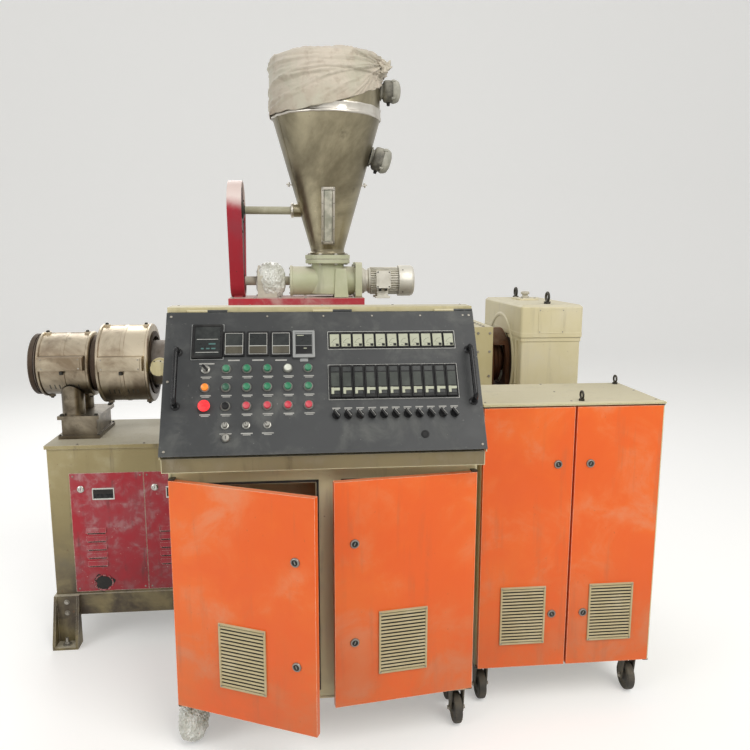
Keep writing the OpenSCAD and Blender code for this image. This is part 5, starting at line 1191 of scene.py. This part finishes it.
def addMotor():
    m = motor
    place = aim((feeder["motorX"], feeder["y"], feeder["screwZ"]), (1, 0, 0))
    bm = bmesh.new()
    addTurned(bm, place,
              [(0, 0), (50, 0), (52, 2), (52, 12), (46, 16), (44, 26), (52, 30), (52, 36), (49, 38),
               (49, m["long"] - 6), (52, m["long"] - 5), (52, m["long"]), (0, m["long"])], 64)
    for i in range(m["fins"]):
        turn = place @ Matrix.Rotation(math.tau * (i + 0.5) / m["fins"], 4, "Z")
        addBox(bm, (m["bodyR"] - 2, -1.1, 38), (m["finR"], 1.1, m["long"] - 6), turn)
    for dy in (-42, 42):  # feet and their ribs
        x, y = feeder["motorX"] + 56, feeder["y"] + dy
        addBox(bm, (x, y - 14, 1350.3), (x + 60, y + 14, 1359))
        addBox(bm, (x + 8, y - 4, 1355), (x + 52, y + 4, 1394))
    addPlate(bm, aim((feeder["motorX"] + 86, feeder["y"] - m["bodyR"] + 6, 1427), (0, -1, 0)), 54, 66, 32, 5)
    addPiece("motorBody", bm, "motorCast", bevel=0.7, replaces=("feeder_motor",))
    bm = bmesh.new()
    addTurned(bm, place @ Matrix.Translation((0, 0, m["long"] - 8)),
              [(57, 0), (m["cowlR"], 0), (m["cowlR"], 50), (m["cowlR"] - 3, 58), (m["cowlR"] - 9, 63),
               (34, 63), (34, 60), (m["cowlR"] - 10, 60), (m["cowlR"] - 5, 55), (m["cowlR"] - 2, 48),
               (m["cowlR"] - 2, 2), (57, 2), (57, 0)], 72)
    for k in range(4):
        ring = 8 + 8 * k
        addTurned(bm, place @ Matrix.Translation((0, 0, m["long"] + 53.5)),
                  [(ring - 1.2, 0), (ring + 1.2, 0), (ring + 1.2, 1.8), (ring - 1.2, 1.8),
                   (ring - 1.2, 0)], 40)
    for i in range(8):
        turn = (place @ Matrix.Translation((0, 0, m["long"] + 53.5))
                @ Matrix.Rotation(math.tau * i / 8, 4, "Z"))
        addBox(bm, (5, -1, -0.6), (36, 1, 0.8), turn)
    addPlate(bm, aim((feeder["motorX"] + 86, feeder["y"] - m["bodyR"] - 26, 1427), (0, -1, 0)), 58, 70, 7, 6)
    addPiece("motorCowl", bm, "motorCast", bevel=0.5)
    bm = bmesh.new()
    for dx in (-23, 23):
        for dz in (-29, 29):
            addScrew(bm, aim((feeder["motorX"] + 86 + dx, feeder["y"] - m["bodyR"] - 33, 1427 + dz),
                             (0, -1, 0)), 3)
    for dz in (-1, 1):
        gland = aim((feeder["motorX"] + 86 + dz * 12, feeder["y"] - m["bodyR"] - 10, 1394), (0, 0, -1))
        addDrum(bm, gland, 9, 6, segments=6)
        addDrum(bm, gland, 6.5, 14, 5.5, segments=20)
    addDrum(bm, place @ Matrix.Translation((0, 0, m["long"] + 40)), 9, 12)
    for i in range(4):
        turn = place @ Matrix.Rotation(math.tau * (i + 0.5) / 4, 4, "Z")
        addScrew(bm, turn @ Matrix.Translation((m["cowlR"], 0, m["long"] + 8))
                 @ Matrix.Rotation(math.pi / 2, 4, "Y"), 3)
    addPiece("motorScrews", bm, "darkSteel")
    print("feeder and its motor finished")


guard = {"x": 702, "thick": 56, "topZ": 1700, "lowZ": 1420, "topR": 115, "lowR": 65}


def addGuard():
    g = guard
    bm = bmesh.new()  # the drive guard: the hull round both sprockets, with sunk sides and rolled lips
    addDrum(bm, aim((g["x"], axisY, g["topZ"]), (1, 0, 0)), g["topR"] - 0.5, g["thick"], segments=96)
    addDrum(bm, aim((g["x"], axisY, g["lowZ"]), (1, 0, 0)), g["lowR"] - 0.5, g["thick"], segments=64)
    hull = bmesh.ops.convex_hull(bm, input=bm.verts)
    bmesh.ops.delete(bm, geom=[e for e in hull["geom_interior"] + hull["geom_unused"] if e.is_valid],
                     context="VERTS")
    bmesh.ops.dissolve_limit(bm, angle_limit=math.radians(1), verts=bm.verts, edges=bm.edges)
    sides = [f for f in bm.faces if abs(f.normal.x) > 0.99]
    for side in sides:
        out = Vector((side.normal.x, 0, 0))
        bmesh.ops.inset_region(bm, faces=[side], thickness=7, use_even_offset=True)
        bmesh.ops.inset_region(bm, faces=[side], thickness=1.2, use_even_offset=True)
        bmesh.ops.translate(bm, verts=side.verts, vec=-out * 7)
        side.material_index = 1
    shell = addPiece("driveGuard", bm, "guardRed", bevel=1.6, replaces=("chain_guard",))
    shell.data.materials.append(finishes["guardSide"].material)
    bm = bmesh.new()
    for x, side in ((g["x"] + 7, -1), (g["x"] + g["thick"] - 7, 1)):
        for z, r, n in ((g["topZ"], 84, 6), (g["lowZ"], 42, 4)):
            for i in range(n):
                a = math.radians(30 + 360 / n * i)
                addBolt(bm, aim((x, axisY + r * math.cos(a), z + r * math.sin(a)), (side, 0, 0)), 5)
        addTurned(bm, aim((x, axisY, g["topZ"]), (side, 0, 0)),
                  [(16.5, 0), (34, 0), (34, 5), (30, 9), (20, 10), (16.5, 14), (16.5, 0)], 36)
    for k in range(6):
        for side in (-1, 1):
            z = g["lowZ"] + 30 + k * 44
            r = g["lowR"] + (z - g["lowZ"]) * ((g["topR"] - g["lowR"]) / (g["topZ"] - g["lowZ"]))
            addScrew(bm, aim((g["x"] + g["thick"] / 2, axisY + side * (r + 0.4), z + 9), (0, side, -0.18)),
                     3.4)
    addPiece("guardBolts", bm, "darkSteel")
    bm = bmesh.new()  # feet that carry the guard on the deck
    addBox(bm, (712, 889, 1355), (748, 941, 1362))
    addBox(bm, (714, 893, 1358), (718, 937, 1392))
    addBox(bm, (742, 893, 1358), (746, 937, 1392))
    addPiece("guardFoot", bm, "trayRed", bevel=0.8)
    print("chain guard finished")


# ---- level sensors


sensors = [{"z": 2165, "r": 43, "long": 82, "reach": 212.3, "lean": 0.0},
           {"z": 1914, "r": 47, "long": 86, "reach": 173.6, "lean": 16.0}]


def addSensors():
    bodies, caps, glands = bmesh.new(), bmesh.new(), bmesh.new()
    for s in sensors:
        place = (Matrix.Translation((hopper["x"] + s["reach"], axisY, s["z"]))
                 @ Matrix.Rotation(math.radians(90 + s["lean"]), 4, "Y"))
        r, long = s["r"], s["long"]
        addTurned(bodies, place,
                  [(0, 0.2), (r * 0.82, 0.2), (r * 0.84, 5), (r * 0.66, 8), (r * 0.68, 12), (r * 0.9, 16),
                   (r * 0.98, 22), (r, 32), (r * 0.98, long * 0.62), (0, long * 0.62)], 48)
        addTurned(caps, place,
                  [(0, long * 0.6), (r * 1.05, long * 0.6), (r * 1.06, long * 0.68), (r * 1.0, long * 0.8),
                   (r * 0.86, long * 0.92), (r * 0.5, long * 0.99), (0, long)], 48)
        for i in range(4):
            turn = place @ Matrix.Rotation(math.radians(45 + 90 * i), 4, "Z")
            addDrum(caps, turn @ Matrix.Translation((r * 1.04, 0, long * 0.54)), 5, 14, segments=14)
            addScrew(glands, turn @ Matrix.Translation((r * 1.04, 0, long * 0.7)), 3.4)
        down = place @ Matrix.Translation((r * 0.8, 0, long * 0.42)) @ Matrix.Rotation(math.pi / 2, 4, "Y")
        addDrum(glands, down, 10, 9, segments=6)
        addDrum(glands, down @ Matrix.Translation((0, 0, 8)), 7.5, 12, 6, segments=20)
    addPiece("sensorBodies", bodies, "sensorCast", sharp=50, replaces=("level_sensors",))
    addPiece("sensorCaps", caps, "sensorCap", sharp=50)
    addPiece("sensorGlands", glands, "sealBlackAndShade")
    print("level sensors finished")


# ---- gearbox


gears = {"x": 1831, "wide": 241, "y": 643, "long": 544, "low": 805, "split": 1207, "top": 1335, "lip": 5,
         "corner": 9, "plateX": 118, "plateZ": 1272, "breatherY": 75, "couplingX": 1750}
beltGuard = {"x": 1951.5, "face": 1270, "lowZ": 335, "topScrews": 122, "lowScrews": 86, "sideR": 95,
             "widening": 35}


def addGearbox():
    g = gears
    centre = (g["x"] + g["wide"] / 2, g["y"] + g["long"] / 2)
    bm = bmesh.new()
    addPlate(bm, Matrix.Translation((*centre, g["low"] + 0.2)), g["wide"] - 3, g["long"] - 3,
             g["split"] - g["low"] - 14, g["corner"])
    addPlate(bm, Matrix.Translation((*centre, g["split"] - 16)), g["wide"] + 3, g["long"] + 3, 15.4,
             g["corner"])
    addPlate(bm, Matrix.Translation((*centre, g["low"] + 0.2)), g["wide"] + 2, g["long"] + 2, 22, g["corner"])
    # the cast trumpet round the coupling, and ribs that run up the left wall
    addTurned(bm, aim((g["x"] + 1.5, axisY, barrelZ), (-1, 0, 0)),
              [(177, 0), (200, 0), (199, 5), (196, 9), (190, 11), (183, 9), (180, 5), (177, 0)], 72)
    for a in (-64, -32, 0, 32, 64):
        rib = aim((g["x"], axisY, barrelZ), (-1, 0, 0)) @ Matrix.Rotation(math.radians(a + 180), 4, "Z")
        addBox(bm, (-4, 196, 0), (4, 245 if a else 236, 6), rib)
    for y in (690, 1140):
        addBox(bm, (g["x"] - 7, y - 5, g["low"] + 10), (g["x"] + 4, y + 5, g["split"] - 12))
    addPiece("gearboxCase", bm, "casting", bevel=2.2, segments=3, replaces=("gearbox_lower",))
    bm = bmesh.new()
    wide, long = g["wide"] + 2 * g["lip"], g["long"] + 2 * g["lip"]
    addPlate(bm, Matrix.Translation((*centre, g["split"])), wide, long, 20, g["corner"] + 3)
    addPlate(bm, Matrix.Translation((*centre, g["split"] + 14)), wide - 1, long - 1,
             g["top"] - g["split"] - 14, g["corner"] + 3)
    top = [f for f in bm.faces if f.normal.z > 0.99 and f.calc_center_median().z > g["top"] - 1]
    bmesh.ops.inset_region(bm, faces=top, thickness=12, use_even_offset=True)
    bmesh.ops.translate(bm, verts=list({v for f in top for v in f.verts}), vec=(0, 0, -0.1))
    for v in bm.verts:
        if v.co.z > g["top"] - 0.05:
            v.co.z -= 9
    addPlate(bm, Matrix.Translation((centre[0], centre[1] + g["breatherY"], g["top"] - 1)), 84, 120, 9, 8)
    addPiece("gearboxLid", bm, "casting", bevel=2.2, segments=3, replaces=("gearbox_cover",))
    bm = bmesh.new()  # the bare raised place on the front, where a plate would go, with its rivets
    addBezel(bm, aim((g["x"] + g["plateX"], g["y"] - g["lip"] + 0.4, g["plateZ"]), (0, -1, 0)), 104, 96,
             1.5, 3, 0.8, 3)
    addPiece("gearboxFace", bm, "casting", bevel=0.5)
    bm = bmesh.new()
    for u, v in ((-46, -42), (46, -42), (-46, 42), (46, 42)):
        addScrew(bm, aim((g["x"] + g["plateX"] + u, g["y"] - g["lip"] - 1.0, g["plateZ"] + v), (0, -1, 0)),
                 2.4)
    for k in range(7):
        for x, side in ((g["x"] + 10, -1), (g["x"] + g["wide"] - 10, 1)):
            addBolt(bm, aim((x - side * 2, g["y"] + 46 + k * 75, g["split"] - 16), (0, 0, -1)), 7, False)
    for dx in (-28, 28):
        for dy in (30, 120):
            addBolt(bm, aim((centre[0] + dx, centre[1] + dy, g["top"] + 8), (0, 0, 1)), 5)
    addPiece("gearboxBolts", bm, "screwSteel")
    bm = bmesh.new()  # breather, sight glass ring and drain plug
    addTurned(bm, Matrix.Translation((centre[0], centre[1] + g["breatherY"], g["top"] + 8)),
              [(0, 0), (16, 0), (16, 6), (12, 8), (12, 14), (18, 16), (19, 22), (16, 27), (0, 29)], 32)
    addTurned(bm, aim((g["x"] + g["wide"], 700, 880), (1, 0, 0)),
              [(0, -2), (30, -2), (30, 7), (27, 10), (19, 10), (18, 5), (0, 5)], 40)
    addTurned(bm, aim((g["x"] + 60, g["y"] + 1, 838), (0, -1, 0)),
              [(0, 0), (15, 0), (15, 5), (10, 6), (10, 13), (0, 13)], 6)
    addPiece("gearboxPlugs", bm, "paleBearing", bevel=0.5)
    bm = bmesh.new()  # rusty coupling halves inside the bell
    addTurned(bm, aim((g["couplingX"], axisY, barrelZ), (1, 0, 0)),
              [(0, 0), (52, 0), (52, 26), (92, 28), (94, 32), (94, 40), (90, 42), (90, 44), (94, 46),
               (94, 54), (92, 58), (52, 60), (52, 80), (0, 80)], 64)
    for i in range(8):
        a = math.radians(22.5 + 45 * i)
        addBolt(bm, aim((g["couplingX"] + 28, axisY + 76 * math.cos(a), barrelZ + 76 * math.sin(a)),
                        (-1, 0, 0)), 8)
    addPiece("couplingHubs", bm, "rust", bevel=0.8)
    bm = bmesh.new()  # a flat dark ring on the gearbox wall round the coupling: painted shade standing in for a recess
    addTurned(bm, aim((g["x"] + 1, axisY, barrelZ), (-1, 0, 0)),
              [(134, 0), (178, 0), (178, 2.2), (134, 2.6), (134, 0)], 72)
    addPiece("couplingRingPaintedShade", bm, "darkBand")
    bm = bmesh.new()  # screws of the distribution housing, and the belt guard's screws
    for dy in (-150, -100, -50, 0, 50, 100, 150):
        addBolt(bm, aim((1711, axisY + dy, 1240), (0, 0, 1)), 6)
    for z in (840, 940, 1040, 1140, 1215):
        for y, side in ((750, -1), (1080, 1)):
            addBolt(bm, aim((1688, y, z), (0, side, 0)), 5)
            addBolt(bm, aim((1736, y, z), (0, side, 0)), 5)
    b = beltGuard
    for i in range(14):
        a = math.radians(-80 + 340 * i / 13 - 20)
        z, r = (barrelZ, b["topScrews"]) if math.sin(a) > -0.5 else (b["lowZ"], b["lowScrews"])
        addScrew(bm, aim((b["x"] + r * math.cos(a), b["face"], z + r * math.sin(a)), (0, 1, 0)), 4)
    for z in (480, 640, 800, 950):
        for side in (-1, 1):
            r = b["sideR"] + (z - b["lowZ"]) * b["widening"] / (barrelZ - b["lowZ"])
            addScrew(bm, aim((b["x"] + side * (r - 9), b["face"], z), (0, 1, 0)), 4)
    addPiece("driveScrews", bm, "screwSteel")
    print("gearbox finished")


# ---- wheels under the two enclosures


wheels = [(623, 60), (623, 190), (1471, 60), (1471, 190), (1582, 184), (1582, 397), (2114, 184), (2114, 397)]


def addWheels():
    forks, tyres, nuts = bmesh.new(), bmesh.new(), bmesh.new()
    for x, y in wheels:
        place = Matrix.Translation((x, y, 0))
        addPlate(forks, place @ Matrix.Translation((0, 0, 144)), 54, 76, 5.8, 5)
        addTurned(forks, place @ Matrix.Translation((0, 0, 130)),
                  [(0, 0), (24, 0), (27, 3), (27, 8), (22, 14.5), (0, 14.5)], 32)
        addPlate(forks, place @ Matrix.Translation((0, 0, 124)), 46, 50, 7, 8)
        for side in (-1, 1):
            cheek = addBox(forks, (side * 20 - 2.5, -24, 40), (side * 20 + 2.5, 24, 128), place)
            low = [v for v in cheek if v.co.z < 60]
            bmesh.ops.scale(forks, vec=(1, 0.5, 1), verts=low, space=place.inverted())
            addBolt(nuts, place @ aim((side * 22.5, 0, 50), (side, 0, 0)), 8)
        wheel = place @ aim((-15, 0, 50), (1, 0, 0))
        addTurned(tyres, wheel,
                  [(6.2, 1), (14, 1), (15, 4), (30, 6), (33, 3), (44, 1.2), (48.5, 4), (50, 9), (50, 21),
                   (48.5, 26), (44, 28.8), (33, 27), (30, 24), (15, 26), (14, 29), (6.2, 29), (6.2, 1)], 48)
        for dx in (-20, 20):
            for dy in (-30, 30):
                addBolt(nuts, place @ Matrix.Translation((dx, dy, 144)) @ Matrix.Rotation(math.pi, 4, "X"),
                        4.5, False)
    addPiece("casterForks", forks, "fork", bevel=0.7, replaces=("casters",))
    addPiece("casterTyres", tyres, "tyre", replaces=("caster_wheels",))
    addPiece("casterNuts", nuts, "screwSteel")
    print("casters finished:", len(wheels))


# ---- plastic film left wrapped round the bearing and one wheel


films = [  # name, middle, half sizes, crumple, seed, what it lies on
    ("bearingFilm", (860, axisY, 1420), (57, 70, 74), 8.0, 3, ["shaft_bearing"]),
    ("wheelFilm", (623, 60, 72), (42, 66, 62), 9.0, 11, ["caster_wheels"]),
]


def addFilms():
    for name, middle, half, crumple, seed, under in films:
        bm = bmesh.new()
        bmesh.ops.create_icosphere(bm, subdivisions=6, radius=1)
        floor = 1.2
        for v in bm.verts:
            away = v.co.copy()
            square = (max(abs(away.x), 0.001) ** 2.6 + max(abs(away.y), 0.001) ** 2.6
                      + max(abs(away.z), 0.001) ** 2.6)
            away = away / square ** (1 / 2.6) * 0.94
            coarse = 1 - 2.2 * abs(noise.noise(away * 2.1 + Vector((seed, 0, 0))))
            sharp = 1 - 2.6 * abs(noise.noise(away * 5.3 + Vector((0, seed, 0))))
            small = 1 - 2.6 * abs(noise.noise(Vector((away.x * 13, away.y * 13, away.z * 7 + seed))))
            push = crumple * (0.5 * coarse + 0.35 * sharp + 0.22 * small)
            spot = Vector((away.x * half[0], away.y * half[1], away.z * half[2])) + v.co * push
            v.co = Vector(middle) + spot
            if v.co.z < floor:
                v.co.z = floor + 0.02 * (floor - v.co.z)
        openEdge = [f for f in bm.faces if f.calc_center_median().z < middle[2] - half[2] * 0.86]
        bmesh.ops.delete(bm, geom=openEdge, context="FACES")  # open below, so it is one thin layer
        piece = addPiece(name, bm, "film", sharp=34)
        thick = piece.modifiers.new("thickness", "SOLIDIFY")
        thick.thickness, thick.offset = 0.0005, -1
    print("films wrapped:", len(films))


# ---- enclosure trim


consoleBox = {"left": 589, "right": 1505, "low": 150, "high": 915, "face": 0, "back": 250}
cabinetBox = {"left": 1548, "right": 2148, "low": 150, "high": 1052, "face": 124, "back": 457}
doorways = [  # left, right, lower and upper edge, and the frame's face
    (623, 1016, 190, 855, consoleBox["face"]),
    (1100, 1471, 190, 855, consoleBox["face"]),
    (1578, 1821, 190, 998, cabinetBox["face"]),
    (1881, 2118, 190, 998, cabinetBox["face"]),
]


def addTrim():
    bm = bmesh.new()  # the folded edges of both frames, and the lip over the cabinet's doors, in the cream painted lighter as painted light
    for box in (consoleBox, cabinetBox):
        low, high, z0, z1, y = (box[key] for key in ("left", "right", "low", "high", "face"))
        addBox(bm, (low + 3, y - 2.2, z0 + 2), (low + 8, y + 0.5, z1 - 3))
        addBox(bm, (high - 8, y - 2.2, z0 + 2), (high - 3, y + 0.5, z1 - 3))
        addBox(bm, (low + 3, y - 2.2, z1 - 8), (high - 3, y + 0.5, z1 - 3))
        addBox(bm, (low + 3, y - 2.2, z0 + 2), (high - 3, y + 0.5, z0 + 7))
    addBox(bm, (1549, 98, 1052.5), (2151.5, 123, 1058.6))
    addPiece("frameLips", bm, "paintedLightFrameCream", bevel=0.6)
    bm = bmesh.new()  # the rail under the console's panel, painted dark: painted shade under the panel's overhang
    addBox(bm, (584, -67.4, 917), (1510, -64, 957))
    addPiece("railPaintedShade", bm, "bandCream", bevel=0.5)
    bm = bmesh.new()  # the rubber seals round the doorways
    for x0, x1, z0, z1, y in doorways:
        addBox(bm, (x0 - 9, y - 3.5, z0 - 9), (x0 - 2, y + 0.5, z1 + 9))
        addBox(bm, (x1 + 2, y - 3.5, z0 - 9), (x1 + 9, y + 0.5, z1 + 9))
        addBox(bm, (x0 - 9, y - 3.5, z1 + 2), (x1 + 9, y + 0.5, z1 + 9))
        addBox(bm, (x0 - 9, y - 3.5, z0 - 9), (x1 + 9, y + 0.5, z0 - 2))
    addPiece("doorSeals", bm, "sealBlackAndShade", bevel=1.0)
    bm = bmesh.new()  # screws of the back, side and top sheets
    for x in (620, 800, 1047, 1290, 1474):
        for z in (175, 520, 890, 940, 1140, 1330):
            addScrew(bm, aim((x, consoleBox["back"], z), (0, 1, 0)), 4)
    for x in (1570, 1848, 2126):
        for z in (175, 600, 1030):
            addScrew(bm, aim((x, cabinetBox["back"], z), (0, 1, 0)), 4)
    for z in (180, 420, 660, 890):
        for y in (60, 220):
            addScrew(bm, aim((consoleBox["left"], y, z), (-1, 0, 0)), 4)
    for z in (180, 460, 740, 1030):
        for y in (180, 420):
            addScrew(bm, aim((cabinetBox["right"], y, z), (1, 0, 0)), 4)
    for x in (600, 820, 1047, 1274, 1494):
        addScrew(bm, aim((x, 238, 1365.6), (0, 0, 1)), 4)
    for x in (1562, 1848, 2134):
        for y in (140, 300, 444):
            addScrew(bm, aim((x, y, 1058), (0, 0, 1)), 4)
    for p, back in ((1047, 270), (1848, 480)):
        for y in (back, 672):
            for side in (-36, 36):
                addScrew(bm, aim((p + side, y, 192), (0, 0, 1)), 3.4)
    addPiece("sheetScrews", bm, "screwSteel")
    print("enclosures trimmed")


def startScene():  # a pale floor that bends up into a backdrop, after the camera, the lamps and the finishes
    placeCamera()
    lightUp()
    finishes.update(makeFinishes())
    bm = bmesh.new()
    near, far, tall, bend, left = -9.0, 11.0, 12.0, 3.0, -16
    line = [bm.verts.new((left, near, 0)), bm.verts.new((left, far - bend, 0))]
    line += [bm.verts.new((left, far - bend + bend * math.sin(math.radians(a)),
                           bend - bend * math.cos(math.radians(a)))) for a in range(6, 91, 6)]
    line.append(bm.verts.new((left, far, tall)))
    path = [bm.edges.new(pair) for pair in zip(line, line[1:])]
    swept = bmesh.ops.extrude_edge_only(bm, edges=path)
    bmesh.ops.translate(bm, verts=[v for v in swept["geom"] if isinstance(v, bmesh.types.BMVert)],
                        vec=(-2 * left, 0, 0))
    bmesh.ops.recalc_face_normals(bm, faces=bm.faces)
    floor = bpy.data.objects.new("floor", bpy.data.meshes.new("floor"))
    bm.to_mesh(floor.data)
    for face in floor.data.polygons:
        face.use_smooth = True
    bm.free()
    bpy.context.scene.collection.objects.link(floor)
    stone = Finish("paleFloor", "")
    seen = [stone.add("LightPath", {}, {}, out)
            for out in ("Is Camera Ray", "Is Glossy Ray", "Is Transmission Ray")]
    # the backdrop looks near white, shadows stay
    lift = seen[0].maths("MAXIMUM", seen[1]).maths("MAXIMUM", seen[2]) * 0.32
    stone.wear(BaseColor=(0.78, 0.78, 0.77, 1), Roughness=0.85, EmissionColor=(1, 0.995, 0.98, 1),
               EmissionStrength=lift)
    floor.data.materials.append(stone.material)
    print("camera, lamps and", len(finishes), "finishes ready")


startScene()
dressNodes()
dressHopper()
addCover()
addSensors()
addFeeder()
addGuard()
addCovers()
addGearbox()
addBaseParts()
addInstruments()
addButtons()
addDoors()
addWheels()
addFilms()
addTrim()
